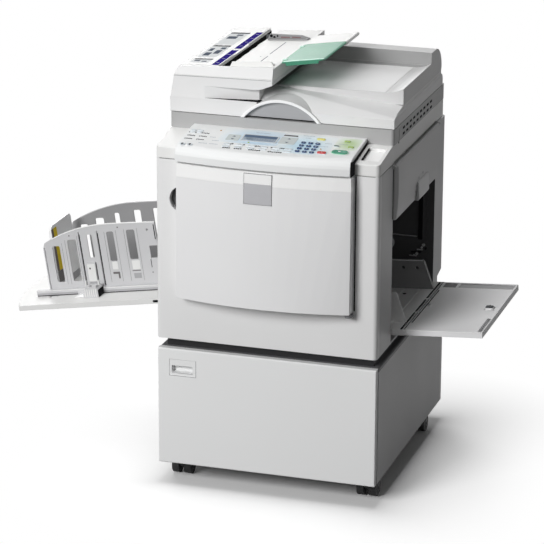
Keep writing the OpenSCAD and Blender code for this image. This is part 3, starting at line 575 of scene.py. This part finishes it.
def strokes(x, y, count, shape):
    pitch, width, below, above, raised = shape
    places = [(x + pitch * i, raised * (i % 2)) for i in range(count)]
    return [rect(start, start + width, y - below + lift, y + above + lift) for start, lift in places]


def strokesAlong(rows, shape):
    return [outline for x, xEnd, y in rows for outline in strokes(x, y, int((xEnd - x) / shape[0]), shape)]


def upArrow(x, y):
    return [(x - 5, y - 3), (x + 5, y - 3), (x, y + 4)]


def downArrow(x, y):
    return [(x - 5, y + 3), (x, y - 4), (x + 5, y + 3)]


def makeDigits(s):
    (x, y, z), (across, up) = s["digitStart"], s["digitPitch"]
    for row, labels in enumerate(s["digits"]):
        for column, label in enumerate(labels):
            data = bpy.data.curves.new(f"digit_{row}{column}", "FONT")
            data.body, data.size, data.extrude = label, s["digitHeight"], s["digitDepth"]
            data.align_x, data.align_y = "CENTER", "CENTER"
            data.materials.append(finishes["printPale"])
            digit = bpy.data.objects.new(f"digit_{row}{column}", data)
            bpy.context.collection.objects.link(digit)
            place = ((x + across * column) / 1000, (y + up * row) / 1000, z / 1000)
            digit.matrix_world = onPanel @ Matrix.Translation(place)
            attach(digit, "machine")


def makePanel(s):
    legends = strokesAlong(s["big"], s["bigStroke"])
    legends += [outline for x, y, count in s["rows"] for outline in strokes(x, y, count, s["rowStroke"])]
    icons = [disc(x, y, 3.4) for x, y in s["icons"]]
    icons += [rect(x - 1.3, x + 1.3, y - 7.5, y - 3) for x, y in s["icons"]]
    corner = s["keyCorner"]
    fit(onPanel, "machine", "panel_white", {
        "display_tint": ([rounded(-148, 20, 64, 160, 8)], 0.02, 0.18, "tintBlue"),
        "keypad_tint": ([rounded(21, 166, 30, 156, 8)], 0.02, 0.18, "tintCyan"),
        "start_tint": ([rounded(167, 233, 78, 158, 8)], 0.02, 0.18, "tintLime"),
        "panel_pads": (
            [rounded(-128, -92, 78, 118, 5), rounded(16, 62, 84, 131, 5)], 0.15, 0.8, "padGrey", 0.0002),
        "display_bezel": ([rounded(-88, 12, 82, 128, 4)], 0.15, 1.2, "keyGrey", 0.0003),
        "pad_arrows": (
            [upArrow(-110, 107), upArrow(39, 120), downArrow(-110, 89), downArrow(39, 95)],
            0.75, 0.95, "printGrey"),
        "panel_legends": (legends, 0.15, 0.35, "printDark"),
        "panel_icons": (icons, 2.5, 2.7, "printDark"),
        "panel_faint_legends": (strokesAlong(s["faint"], s["faintStroke"]), 0.2, 0.36, "printFaint")})
    fit(onPanel, "machine", "lcd_blue", {
        "display_shade": ([rect(-83, 7, 107, 123)], 1.5, 1.56, "printShade"),
        "display_rows": (
            [rect(x, x + 5.5, y, y + 1.4) for y in (91, 96, 101) for x in spaced(-80, 7, 12)],
            1.5, 1.58, "printGrey"),
        "display_bar": ([rounded(18, 57, 138, 146, 2)], 0.2, 1.0, "barBlack", 0.0003)})
    for finish, lamps in s["lamps"].items():
        turned("panel_lamps_" + finish, s["lampShape"], lamps, onPanel, finish, "machine", "key_green", 16)
    makeDigits(s)
    fit(onPanel, "machine", "key_green", {
        "colour_key_yellow": ([padAround(124, 134, 11, 4.6, corner)], 0.3, 3.1, "keyYellow", 0.0003),
        "colour_key_lime": (
            [padAround(196, 134, 8, 4, corner), padAround(215, 99, 8, 4, corner)],
            0.3, 3.1, "keyLime", 0.0003),
        "colour_key_dark": ([padAround(176, 98, 7, 3.6, corner)], 0.3, 3.1, "keyBottle", 0.0003),
        "start_ring": ([oval(196, 60, 25, 13.5, 36)], 0.15, 1.6, "ringGreen", 0.0006),
        "start_mark": ([[(192, 64), (192, 56), (199.5, 60)]], 3.95, 4.1, "printPale")})
    fit(onPanel, "machine", "key_red", {
        "stop_ring": ([rounded(136, 164, 39.5, 54.5, 7)], 0.15, 1.3, "keyPale", 0.0004),
        "stop_mark": ([rect(147.8, 152.2, 46.2, 47.8)], 3.45, 3.6, "printPale")})


makePanel(panelSettings)
# the dark reveal at the panel's right end, a black sheet of painted shade in the gap; and the clip tray
# beside it, its left and back walls painted dark as painted shade and its floor painted light
fit(onRight, "machine", "panel_white", {
    "panel_reveal_painted_shade": (
        [[(-30, 909), (127, 909), (127, 964), (0, 945), (-30, 950)]], 239.4, 241.8, "linerBlack")})
fit(onShoulder, "machine", "inner_dark", {
    "clip_tray_wall_painted_shade": ([rect(251.2, 253.2, 25.4, 105.6)], -7.4, -0.2, "linerBlack", 0.0003),
    "clip_tray_back_painted_shade": ([rect(253.4, 299.6, 104.6, 105.7)], -7.4, -0.4, "gripGrey", 0.0002)})
fit(onShoulder, "machine", "shell_white", {
    "clip_tray_floor_painted_light": ([rect(253.4, 299.6, 25.4, 103.2)], -7.95, -7.5, "rimWhite")})
# the badge's place is bare, with a dark edge and an upper part painted paler as painted light, like the
# door's band
fit(onBadge, "front_door", "plate_silver", {
    "badge_edge": (
        [rect(-45.4, 32.4, 40.4, 41.8), rect(-45.4, 32.4, -41.8, -40.4), rect(-45.4, -44, -40.4, 40.4),
         rect(31, 32.4, -40.4, 40.4)],
        1.02, 1.5, "gripGrey", 0.0003),
    "badge_upper": ([rect(-44, 31, 14, 40.4)], 1.02, 1.2, "bandWhite")})
print("operation panel dressed")


# ---- feeder ----

feederSettings = {
    # the cover's white lip with its tab, over the dark slot of the feed rollers
    "lip": [(105.5, 153), (108.8, 153), (108.8, 268), (114, 280), (114, 396), (108.8, 408), (108.8, 614),
            (105.5, 614)],
    # the feed rollers in the slot: where each one is along it, and their profile
    "rollers": {"slot_roller_278": 294, "slot_roller_348": 364, "slot_roller_418": 434},
    "rollerAxis": (-171, 1114), "rollerShape": [(4.6, -4.0), (5.4, -3.2), (5.4, 3.2), (4.6, 4.0)],
    # the rear guide: a wedge on its foot, lowest at its right end
    "wedge": [(-157, 1128.6), (-33, 1137.8), (-34, 1140.5), (-58, 1146.5), (-150, 1144.6)],
    "wedgeReach": (-510, -505),
    "foot": [(-152, 1128.9), (-36, 1137.6), (-36, 1141.2), (-152, 1132.6)],
    "footReach": (-505.5, -489), "guideEdge": 0.001,
}


def coverPatch(x0, x1, y0, y1, radius=2):
    # a rounded rectangle on the feeder's cover, measured from the machine's middle
    return rounded(x0 + 290, x1 + 290, y0, y1, radius, 3)


def makeRearGuide(s):
    mesh = bmesh.new()
    addPlate(mesh, s["wedge"], *s["wedgeReach"], onFront)
    addPlate(mesh, s["foot"], *s["footReach"], onFront)
    name = "guide_rear_body"
    rearGuide = keep(settle(mesh, name), name, "fenceRear", "guide_rear", "fence_grey", s["guideEdge"])
    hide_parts("guide_rear")


def makeFeeder(s):
    ticks = spaced(182, 48, 4) + spaced(384, 48, 4)
    fit(onFeederCover, "feeder_cover", "shell_white", {
        "guide_strips": (
            [coverPatch(-205, -185, 156, 335), coverPatch(-205, -185, 352, 557)],
            0.05, 0.35, "printViolet"),
        "guide_strip_ticks": (
            [coverPatch(-200, -190, y, y + 1.6, 0.5) for y in ticks], 0.33, 0.45, "printPale"),
        # plain sheets, bars and blocks where a machine has printed diagrams
        "cover_sheets": (
            [coverPatch(-276, -222, 180, 228, 3), coverPatch(-276, -222, 243, 378, 3),
             coverPatch(-276, -222, 395, 545, 3)],
            0.05, 0.2, "printPale"),
        "cover_bars": (
            [coverPatch(-273, -222, 216, 226, 1), coverPatch(-274, -224, 374, 386, 1),
             coverPatch(-276, -220, 536, 548, 1)],
            0.2, 0.35, "printDark"),
        "cover_blocks": (
            [coverPatch(-268, -252, 196, 208), coverPatch(-246, -232, 190, 200),
             coverPatch(-268, -250, 262, 300), coverPatch(-270, -258, 318, 350),
             coverPatch(-246, -230, 286, 330), coverPatch(-242, -228, 340, 362),
             coverPatch(-268, -240, 470, 500), coverPatch(-250, -232, 508, 524)],
            0.2, 0.33, "printGrey"),
        "cover_lip": ([s["lip"]], -1.2, 1.1, "shellWhite", 0.0006)})
    fit(onRight, "feeder_cover", "inner_dark", {
        "cover_end": ([rect(152.3, 616.7, 1105.6, 1126.2)], -180.95, -180.5, "linerBlack")})
    fit(onOriginals, "feeder", "shell_white", {
        "table_lines": (
            [rect(69, 71.4, 166, 296), rect(67, 69.4, 320, 466), disc(51, 291, 1.8, 10)],
            0.05, 0.2, "printGrey")})
    x, z = s["rollerAxis"]
    for name, y in s["rollers"].items():
        turned(name, s["rollerShape"], [(0, 0, 0)], facingFront(x, y, z), "rollerGrey", "feeder",
               "rubber_black", 20)
    # the dark inside of the roller slot; black sheets of painted shade in the exit slot and on the floor of
    # the shadowed recess in the front
    fit(upright, "feeder", "inner_dark", {
        "roller_slot": ([rect(-180.4, -165.3, 152, 618)], 1104.05, 1105.2, "linerBlack"),
        "exit_slot_floor_shade": ([rect(-129.8, -69.5, 169.4, 511.6)], 1080.05, 1080.4, "linerBlack"),
        "exit_slot_roof_shade": ([rect(-129.8, -26, 169.4, 511.6)], 1094.1, 1094.45, "linerBlack"),
        "front_recess_shade": (
            [[(-214, 129.1), (-60.4, 129.1), (-60.4, 154.4)]], 1047.03, 1047.4, "linerBlack")})
    # the exit slot's end, a black sheet of painted shade
    fit(onRight, "feeder", "inner_dark", {
        "exit_slot_end_shade": ([rect(169.4, 511.6, 1080.5, 1094)], -129.9, -129.4, "linerBlack")})
    # a black line of painted shadow under the tray's front edge, and the crease round the feeder's front with
    # a grey line of painted shadow under it
    fit(onFront, "feeder", "inner_dark", {
        "tray_front_painted_shadow": ([rect(-66, 309, 1044.2, 1045.8)], -229.95, -229.6, "linerBlack"),
        "front_crease_painted_shadow": (
            [[(-301.5, 1102.6), (-29, 1107.6), (-29, 1108.9), (-301.5, 1104.2)]],
            -129.3, -128.8, "gripGrey")})
    fit(onFront, "feeder", "shell_white", {
        "front_crease": (
            [[(-301.5, 1105.5), (-29, 1110.5), (-29, 1113), (-301, 1108.3)]],
            -129.4, -128.6, "shellWhite", 0.0003)})
    # the tray's floor painted lighter as painted light, and its rear wall painted darker as painted shade
    fit(onTray, "feeder", "shell_grey", {
        "tray_floor": ([rounded(-18, 279, 232, 523, 4)], 0.02, 0.4, "trayFloor", 0.0002)})
    fit(onFront, "feeder", "shell_grey", {
        "tray_wall_low_painted_shade": ([rect(-24.5, 309.5, 1077, 1084.8)], -524.4, -524.1, "wallGrey")})
    fit(onWall, "feeder", "shell_grey", {
        "tray_wall_high_painted_shade": ([rect(-24.5, 309.5, 0.2, 34.6)], 0.05, 0.35, "wallGrey")})
    # the rear guide with the machinery beside it
    makeRearGuide(s)
    fit(onFront, "guide_rear", "fence_grey", {
        "guide_gear": (
            [rect(-163, -150, 1126, 1139), rect(-149, -138, 1127, 1135), rect(-137, -120, 1128, 1133)],
            -516.5, -511, "rollerRubber", 0.0012),
        "guide_pads": (
            [[(-118, 1132.8), (-92, 1134.8), (-92, 1140), (-118, 1139)],
             [(-86, 1135.3), (-60, 1137.2), (-60, 1142), (-86, 1141)]],
            -504.95, -504.5, "padRed", 0.0003)})
    fit(onFront, "guide_rear", "rubber_black", {
        "guide_cogs": (
            [disc(-146, 1139, 4.2), disc(-137, 1136, 3.4), disc(-128, 1140, 2.6)],
            -504.9, -503.6, "linerBlack", 0.0004)})
    fit(onFlap, "feeder", "flap_green", {
        "flap_lip": ([rounded(7, 122, 203, 212, 3, 3)], 0.0, 1.6, "flapLip", 0.0006),
        "flap_hinge": ([rect(-4, 8, 230, 246), rect(-4, 8, 388, 404)], -0.2, 1.3, "flapLip", 0.0005)})


makeFeeder(feederSettings)
print("feeder dressed")


# ---- the handle of the scanner's cover ----

handleMiddle = 920      # height of the middle of the handle's circle


def segment(radius, low, steps=40):
    # the part of the handle's circle that shows above this height
    half = math.acos((low - handleMiddle) / radius)
    return [(radius * math.sin(a), handleMiddle + radius * math.cos(a))
            for a in [half - 2 * half * i / steps for i in range(steps + 1)]]


# the handle's recess lined grey as painted shade, a black strip of painted shadow under it, and its rim
# painted brighter as a painted highlight
fit(onFront, "feeder", "shell_grey", {
    "handle_recess_painted_shade": ([segment(131.4, 1005)], -136, -135.2, "gripGrey")})
fit(onFront, "feeder", "inner_dark", {
    "handle_shadow": ([rect(-100, 100, 1004.4, 1007)], -135.3, -134.9, "linerBlack")})
fit(onFront, "feeder", "shell_white", {
    "handle_rim_painted_highlight": (
        [segment(140, 1004.5) + segment(132.4, 1004.5)[::-1]], -123.5, -121.2, "rimWhite", 0.0012)})
print("handle dressed")


# ---- delivery side ----

# on the fences: local X out along the table, Y up, Z out of the fence's outer face
frontFace, rearFace, endFace = 0.253, 0.479, -0.398      # of the fences and the end plate, in metres
onFrontFence = onDeliveryTable @ Matrix(((1, 0, 0, 0), (0, 0, -1, frontFace), (0, 1, 0, 0), (0, 0, 0, 1)))
onRearFence = onDeliveryTable @ Matrix(((1, 0, 0, 0), (0, 0, 1, rearFace), (0, 1, 0, 0), (0, 0, 0, 1)))
onEndPlate = onDeliveryTable @ Matrix(((0, 0, 1, endFace), (1, 0, 0, 0), (0, 1, 0, 0), (0, 0, 0, 1)))
fenceSettings = {
    # where each crease is along the fence, and how high it ends
    "creases": {-357: 150, -346: 158, -308: 168, -223: 176, -188: 178, -163: 180, -124: 181},
    "creaseWidth": 0.9,
    # the curved top in two arcs: middle, height of the middle, radius, and the stretch of the table
    "topArcs": [(-215, -231.5, 430.5, -385, -215), (-215, -2801.5, 3000.5, -215, -68)], "topThick": 2.5,
    # finishes of the small parts, of the ramp and of the top edge's painted highlight
    "front": ("tableWhite", "plateGrey", "rimWhite"), "rear": ("fenceGrey", "fenceRear", "fenceGrey"),
}


def arcOf(middle, low, radius, start, end, steps=16):
    return [(u, low + math.sqrt(radius * radius - (u - middle) ** 2))
            for u in [start + (end - start) * i / steps for i in range(steps + 1)]]


def makeFence(side, onFence, s):
    pale, ramp, top = s[side]
    rim = [point for arc in s["topArcs"] for point in arcOf(*arc)]
    under = [point for middle, low, radius, start, end in s["topArcs"]
             for point in arcOf(middle, low, radius - s["topThick"], start, end)]
    creases = [rect(u, u + s["creaseWidth"], 28, high) for u, high in s["creases"].items()]
    rows = {
        # dark lines of painted shadow beside the ribs and along the fence's edges
        "fence_shadow_lines": (
            [rect(-300, -297.4, 20, 172), rect(-244, -241.4, 20, 172), rect(-262.8, -260.6, 31, 88),
             rect(-414.6, -413.05, 22, 138), rect(-95.6, -94, 64, 88), rect(-73, -70.4, 145, 188)],
            0.03, 0.35, "linerBlack"),
        "fence_hooks": (
            [[(-214, 57), (-194, 57), (-194, 37), (-199, 37), (-199, 51), (-214, 51)],
             rect(-155, -130, 56.4, 58.6)],
            0.03, 0.6, "fenceDark", 0.0002),
        "fence_windows": (
            [rounded(-213, -196, 64, 86, 2, 3), rounded(-153, -129, 61, 87, 2, 3)],
            0.03, 0.8, pale, 0.0003),
        "fence_pockets": ([rect(-152, -130, 35, 50)], 0.03, 0.3, "gripGrey"),
        "fence_dots": (
            [disc(-94.5, 50, 1.8, 12), disc(-330, 170, 2.2, 12), disc(-180, 186, 2.2, 12)],
            0.03, 0.4, "fenceDark"),
        "fence_screw": ([disc(-280, 72.5, 2.8, 14)], 5.62, 6.2, "fenceDark", 0.0003),
        "fence_tabs": ([rect(-292.4, -288.8, 13, 43), rect(-254, -250.4, 22, 43)], 22, 30, pale, 0.0006),
        "fence_creases": (creases, 0.02, 0.25, "fenceRear"),
        "fence_cover": ([rounded(-288, -264, 34, 85, 2)], 4.0, 5.6, pale, 0.0005),
        # the rail: a painted highlight along its top, painted shadow at its foot and painted shade on its
        # face
        "rail_highlight": (
            [rect(-450, -295, 14.4, 16.6), rect(-247, -23, 14.4, 16.6)], 12.02, 12.5, pale, 0.0003),
        "rail_foot_shadow": ([rect(-451, -326, 0.6, 2.6), rect(-246, -22, 0.6, 2.6)], 12.02, 12.3, "linerBlack"),
        "rail_face_shade": ([rect(-451, -326, 2.6, 9), rect(-246, -22, 2.6, 9)], 12.02, 12.25, "gripGrey"),
        # the curved top edge, painted lighter as a painted highlight
        "fence_top_highlight": ([rim + under[::-1]], -3.1, 0.5, top, 0.0003),
        # the squeeze block: ribs on its front, a dark gap on its right and a ramp on its left
        "block_ribs": ([rect(u, u + 3, 3, 25) for u in spaced(-288, 6.4, 6)], 51.9, 53.0, pale, 0.0005),
        "block_gap": ([rect(-247.95, -246.6, 0.8, 21)], 13, 51, "linerBlack"),
        "block_ramp": ([[(-326, 0.5), (-294.5, 0.5), (-294.5, 11.5)]], 14, 46, ramp, 0.0006)}
    sided = {f"{name}_{side}": row for name, row in rows.items()}
    fit(onFence, f"delivery_fence_{side}", "fence_grey", sided)


makeFence("front", onFrontFence, fenceSettings)
makeFence("rear", onRearFence, fenceSettings)
# the coloured strip of the end plate with a brown strip of painted shade for its front edge, the plate's
# darker foot, and the notch in the table's edge
fit(onEndPlate, "end_plate", "fence_grey", {
    "plate_strip": ([rect(305.5, 329, 56, 180)], 0.03, 0.3, "stripYellow"),
    "plate_edge_shade": ([rect(290.6, 305, 56, 180)], 0.03, 0.3, "stripBrown"),
    "plate_foot": ([rect(290.6, 441.4, 2, 22)], 0.03, 0.3, "gripGrey"),
    "plate_low": ([rect(290.6, 329, 22.2, 55.6)], 0.03, 0.3, "fenceDark")})
fit(onDeliveryTable @ standing, "machine", "inner_dark", {
    "table_notch": ([rounded(-70, -54, -10.5, -3.5, 3.4)], -156.95, -156.6, "linerBlack")})
print("delivery side dressed")


# ---- feed side ----

feedSettings = {
    "knob": (223, 356.5),
    # the fences' slanted ends and tops, painted lighter as painted highlights
    "fenceEdgeHighlight": [[(21.5, 3), (23.8, 3), (0.4, 80.6), (-1.8, 80.6)], rect(-93, -4, 81.6, 84.2)],
    # the tread of the feed roller: radius and place along it, and where its middle is
    "tread": [(20.2, -27), (21.2, -26), (21.2, -10), (20.2, -9), (20.2, 9), (21.2, 10), (21.2, 26),
              (20.2, 27)],
    "roller": (228, 366, 608),
}


def makeFeedSide(s):
    u, v = s["knob"]
    fit(onFeedTable, "feed_extension", "inner_dark", {
        "hinge_line": (
            [rect(33.8, 36.2, 152, 300), rect(33.8, 36.2, 306, 420), rect(33.8, 36.2, 428, 578)],
            0.01, 0.25, "linerBlack"),
        "hinge_groove": ([rect(39.2, 42.8, 212, 508)], -1.5, -0.3, "linerBlack")})
    fit(onFeedTable, "feed_extension", "fence_grey", {
        "extension_strip_dark": ([rect(43.4, 80.6, 535.4, 574.6)], -1.95, -1.5, "cabinetTop"),
        "extension_strip_pale": ([rect(89.4, 246.6, 535.4, 574.6)], -1.95, -1.5, "gripGrey"),
        "extension_groove": ([rect(238.4, 248.6, 152.4, 274.6)], -1.95, -1.5, "cabinetTop"),
        "groove_ribs": (
            [rect(x, x + 1.4, 154, 273) for x in spaced(240, 3.4, 3)], -1.5, -0.2, "fenceGrey", 0.0002),
        "knob_seat": ([padAround(u, v, 13.6, 13, 4)], -2.95, -2.5, "tableWhite")})
    fit(onFeedTable, "feed_extension", "rubber_black", {
        "knob_cap": ([padAround(u, v, 10.4, 10, 5)], 4.9, 7.2, "rollerRubber", 0.0012),
        "knob_grip": ([barAround(u, v, 1.8, 9), barAround(u, v, 9, 1.8)], 5.2, 8.4, "rollerRubber", 0.0006),
        "extension_latch": (
            [rect(46.5, 53.5, y, y + 2) for y in spaced(358, 4, 4)], 2.45, 3.1, "gripGrey", 0.0002)})
    # a painted highlight along the extension's front edge
    fit(onFeedTable @ standing, "feed_extension", "fence_grey", {
        "extension_edge_highlight": ([rect(37, 250, -2.8, -0.6)], -147.95, -147.6, "rimWhite", 0.0002)})
    fit(onFeedTable, "feed_table", "rubber_black", {
        "table_dots": ([disc(-48, 464, 5.5)], 0.02, 0.26, "linerBlack")})
    fit(onFeedTable, "feed_table", "inner_dark", {
        "hinge_edge": (
            [rect(23.2, 29.1, 150, 300), rect(23.2, 29.1, 306, 420), rect(23.2, 29.1, 430, 581)],
            0.02, 0.24, "linerBlack")})
    # painted highlights along the fences' slanted ends and tops
    fit(onFeedTable @ standing, "feed_fence_front", "fence_grey", {
        "feed_fence_highlight_front": (s["fenceEdgeHighlight"], -213.45, -213.1, "rimWhite")})
    fit(onFeedTable @ standing, "feed_fence_rear", "fence_grey", {
        "feed_fence_highlight_rear": (s["fenceEdgeHighlight"], -514.45, -514.1, "tableGrey")})
    # the lift's mechanism, rail and guide on the back wall of the feed bay, and the rubber of the feed roller
    fit(onFront, "machine", "inner_dark", {
        "lift_blocks": (
            [disc(281, 544, 4.4), disc(276, 536, 3), rect(262, 279, 528, 530.5), disc(262, 517, 4),
             disc(254, 512, 2.4), rect(240, 262, 509, 511)],
            -595.9, -590, "fenceGrey", 0.0008),
        "lift_springs": (
            [disc(270, 523, 4.6), disc(288, 534, 3.4), rect(246, 258, 519, 523)],
            -595.9, -591, "linerBlack", 0.0006),
        "jamb_liner": ([rect(290.2, 309.7, 406, 749)], -595.95, -595.5, "innerDark"),
        "guide_face": ([rect(265.9, 278.1, 560, 740)], -591.97, -591.2, "linerBlack"),
        "lift_rail": ([rect(190, 262, 566, 568.4)], -595.9, -594.6, "fenceGrey")})
    turned("feed_roller_tread", s["tread"], [(0, 0, 0)], facingFront(*s["roller"]), "rollerRubber", "machine",
           "rubber_black", 36)


makeFeedSide(feedSettings)
print("feed side dressed")


# ---- sides, back and cabinet ----

# screws on the back, by name: the profile of the head, where they are, and how round they are
screwSettings = {
    "inlet_screws": ([(3.2, 0), (3.2, 0.8), (2.6, 1.5), (1.2, 1.7)],
                     [(-258, 483, 698.02), (-216, 483, 698.02)], 16),
    "rear_screws": ([(4.2, 0), (4.2, 1.0), (3.4, 2.0), (1.4, 2.2)],
                    [(x, z, 701.02) for x in (-294, 294) for z in (470, 660, 880)], 18),
    "service_screws": ([(3.6, 0), (3.6, 0.7), (2.8, 1.5), (1.2, 1.7)],
                       [(x, z, 702.22) for x in (-170, 275) for z in (462, 602)], 16),
}
casterSettings = {
    "cap": [(13, 0), (13, 0.7), (9.5, 1.7), (8.8, 1.2), (4.6, 1.2), (4.2, 2.4), (2.0, 2.8)],
    "places": {"fl": (-267, 96), "fr": (267, 96), "rl": (-267, 616), "rr": (267, 616)},
    "halfTrack": 27.52, "axle": -1,
}


def makeShell():
    # the dark backs of the cooling slots, the seams, and the gap in front of the right cover
    slots = [rect(y, y + 23.2, z, z + 7.2) for z in (965.4, 981.4) for y in spaced(218.4, 36, 9)]
    seam = ([rect(13, 680, 906.4, 907.4)], 310.02, 310.25, "linerBlack")
    fit(onRight, "machine", "inner_dark", {
        "scanner_slots": (slots + [rect(181.2, 184.8, 952.5, 992.6)], 311.2, 312.2, "linerBlack"),
        "seam_right": seam,
        "cover_gap": ([rect(136.8, 140.6, 754, 900)], 310.02, 310.5, "linerBlack")})
    fit(onLeft, "machine", "inner_dark", {
        "side_slots": (
            [rect(480.4, 609.6, z, z + 5.4) for z in spaced(620.3, 14, 9)], 305.03, 305.5, "linerBlack"),
        "seam_left": seam})
    # the back: cooling slots, the mains inlet with its pins, the service cover, and the screws
    fit(onBack, "machine", "inner_dark", {
        "rear_slots": (
            [rect(x, x + 139.2, z, z + 5.4) for x in (-199.6, 60.4) for z in spaced(640.3, 14, 10)],
            697.03, 697.5, "linerBlack"),
        "inlet_floor": ([rect(-253.6, -220.4, 470.4, 495.6)], 679.03, 679.6, "linerBlack")})
    fit(onBack, "machine", "drum_steel", {
        "inlet_pins": (
            [rect(-248, -246, 478, 484), rect(-228, -226, 478, 484), rect(-238, -236, 484, 490)],
            679.5, 694, "pinSteel", 0.0004)})
    fit(onBack, "machine", "shell_grey", {
        "service_cover": ([rounded(-180, 285, 452, 612, 6)], 701.0, 702.2, "sideGrey", 0.0006)})
    for name, (profile, places, steps) in screwSettings.items():
        turned(name, profile, places, onBack, "pinSteel", "machine", "drum_steel", steps)
    # a dark strip of painted shadow beside the right cover's latch, and the marks beside it
    fit(onRight, "right_cover", "inner_dark", {
        "latch_shadow": ([rect(348.5, 354.6, 748, 792)], 322.02, 322.5, "gripGrey"),
        "latch_marks": (
            [disc(366.7, 807.8, 3.4), disc(410, 812, 3.4), disc(331.6, 777.7, 2.6)],
            322.02, 322.6, "gripGrey")})
    # round the door: the shadowed scoop, the gap behind its right end, the seams, and its lower hinge. The
    # black sheet in the gap is partly a real gap and partly painted shade for the door's shaded right end
    scoop = [(x, z) for x, z in disc(-235, 797, 35.7, 40) if x < -237.5]
    knuckle = [(226.7, -0.2)] + [(x, y) for x, y in disc(236, -20, 9.3, 32) if y < -19.9] + [(245.3, -0.2)]
    fit(onFront, "machine", "inner_dark", {
        "scoop_back": ([scoop], -17.95, -17.6, "innerDark"),
        "door_gap_shade": ([rect(244.9, 248.4, 533, 905)], 0.02, 0.4, "linerBlack"),
        "seam_front": (
            [rect(-299, -246, 906.3, 907.5), rect(243.5, 299, 906.3, 907.5)], 0.02, 0.25, "linerBlack")})
    fit(upright, "machine", "inner_dark", {
        "hinge_knuckle": ([knuckle], 519.7, 527.3, "rollerGrey", 0.0005)})
    # the inside of the cabinet door's pull, and its outline
    fit(onFront, "cabinet_door", "cabinet_paint", {
        "pull_back": ([rect(-267.8, -210.2, 302.3, 320.8)], -19.9, -19.4, "cabinetPaint")})
    fit(onFront, "cabinet_door", "inner_dark", {
        "pull_outline": (
            [rect(-200.9, -199.3, 291.6, 339.6), rect(-276.5, -200.9, 291.6, 293),
             rect(-269.2, -268.1, 301, 322), rect(-269.2, -209, 300.4, 301.6)],
            -3.98, -3.7, "gripGrey")})


def makeCasterCaps(s):
    for name, (x, y) in s["places"].items():
        for side in (-1, 1):
            face = facing(x + side * s["halfTrack"], y, s["axle"], (0, 1, 0), (0, 0, 1), (side, 0, 0))
            capName = f"wheel_cap_{name}_{'in' if side * x < 0 else 'out'}"
            turned(capName, s["cap"], [(0, 0, 0)], face, "capGrey", f"caster_wheels_{name}",
                   "rubber_black", 24)


makeShell()
makeCasterCaps(casterSettings)
print("sides, back and cabinet dressed")


# ---- stage and light ----

stageSettings = {
    "half": 30.0,
    # what the cabinet covers of the floor, and how far from it the shadow has faded (metres)
    "covered": (at(-309, 4, 0), at(309, 726, 0)), "fade": 0.42, "fadePower": 0.6, "nearColour": 0.98,
    "bounce": 0.12, "world": 0.09, "aim": (0, 0, 0.6),
    "lamps": {"keyLamp": dict(place=(-1.9, -4.9, 3.0), size=2.6, power=250),
              "topLamp": dict(place=(-0.6, 0.0, 4.6), size=3.2, power=50),
              "fillLamp": dict(place=(3.8, -3.6, 2.0), size=2.5, power=7),
              "backLamp": dict(place=(-2.6, 4.2, 2.6), size=2.6, power=95)},
}
black, white = grey(0), grey(1)


def seenDirectly(start):
    # 1 for what the camera sees, also mirrored or through glass, and 0 for the light that falls on the object
    camera, glossy, through = [start.node("ShaderNodeLightPath", out=f"Is {kind} Ray")
                               for kind in ("Camera", "Glossy", "Transmission")]
    return (camera + glossy + through).clamped()


def beyond(place, index, low, high):
    # how far a point is outside this stretch
    return ((part(place, index) - (low + high) / 2).size() - (high - low) / 2).atLeast(0.0)


def makeFloor(s):
    # a floor that fades into white away from the object, and keeps its shadow
    material, shader, place = startMaterial("floorWhite")
    low, high = s["covered"]
    across, along = beyond(place, 0, low.x, high.x), beyond(place, 1, low.y, high.y)
    away = ((across * across + along * along) ** 0.5 / s["fade"]).clamped()
    direct = seenDirectly(place)
    join(direct.blend(grey(s["bounce"]), away.blend(grey(s["nearColour"]), black)), shader, "Base Color")
    join(direct.blend(black, (away ** s["fadePower"]).blend(black, white)), shader, "Emission Color")
    shader.inputs["Roughness"].default_value = 0.9
    shader.inputs["Specular IOR Level"].default_value = 0.0
    shader.inputs["Emission Strength"].default_value = 1.0
    half = s["half"]
    data = bpy.data.meshes.new("floor")
    data.from_pydata([(x, y, 0) for x, y in rect(-half, half, -half, half)], [], [(0, 1, 2, 3)])
    data.materials.append(material)
    floor = bpy.data.objects.new("floor", data)
    bpy.context.collection.objects.link(floor)


def makeLight(s):
    world = bpy.data.worlds.new("studio")
    bpy.context.scene.world = world
    world.use_nodes = True
    tree = world.node_tree
    join(seenDirectly(Wire(tree)).blend(grey(s["world"]), white), tree.nodes["Background"], "Color")
    for name, lamp in s["lamps"].items():
        light = bpy.data.lights.new(name, "AREA")
        light.shape, light.size, light.energy = "DISK", lamp["size"], lamp["power"]
        lampObject = bpy.data.objects.new(name, light)
        bpy.context.collection.objects.link(lampObject)
        lampObject.location = lamp["place"]
        towards = Vector(s["aim"]) - Vector(lamp["place"])
        lampObject.rotation_euler = towards.to_track_quat("-Z", "Y").to_euler()


makeFloor(stageSettings)
makeLight(stageSettings)
bpy.context.scene.view_settings.view_transform = "Standard"
print("stage and light ready")
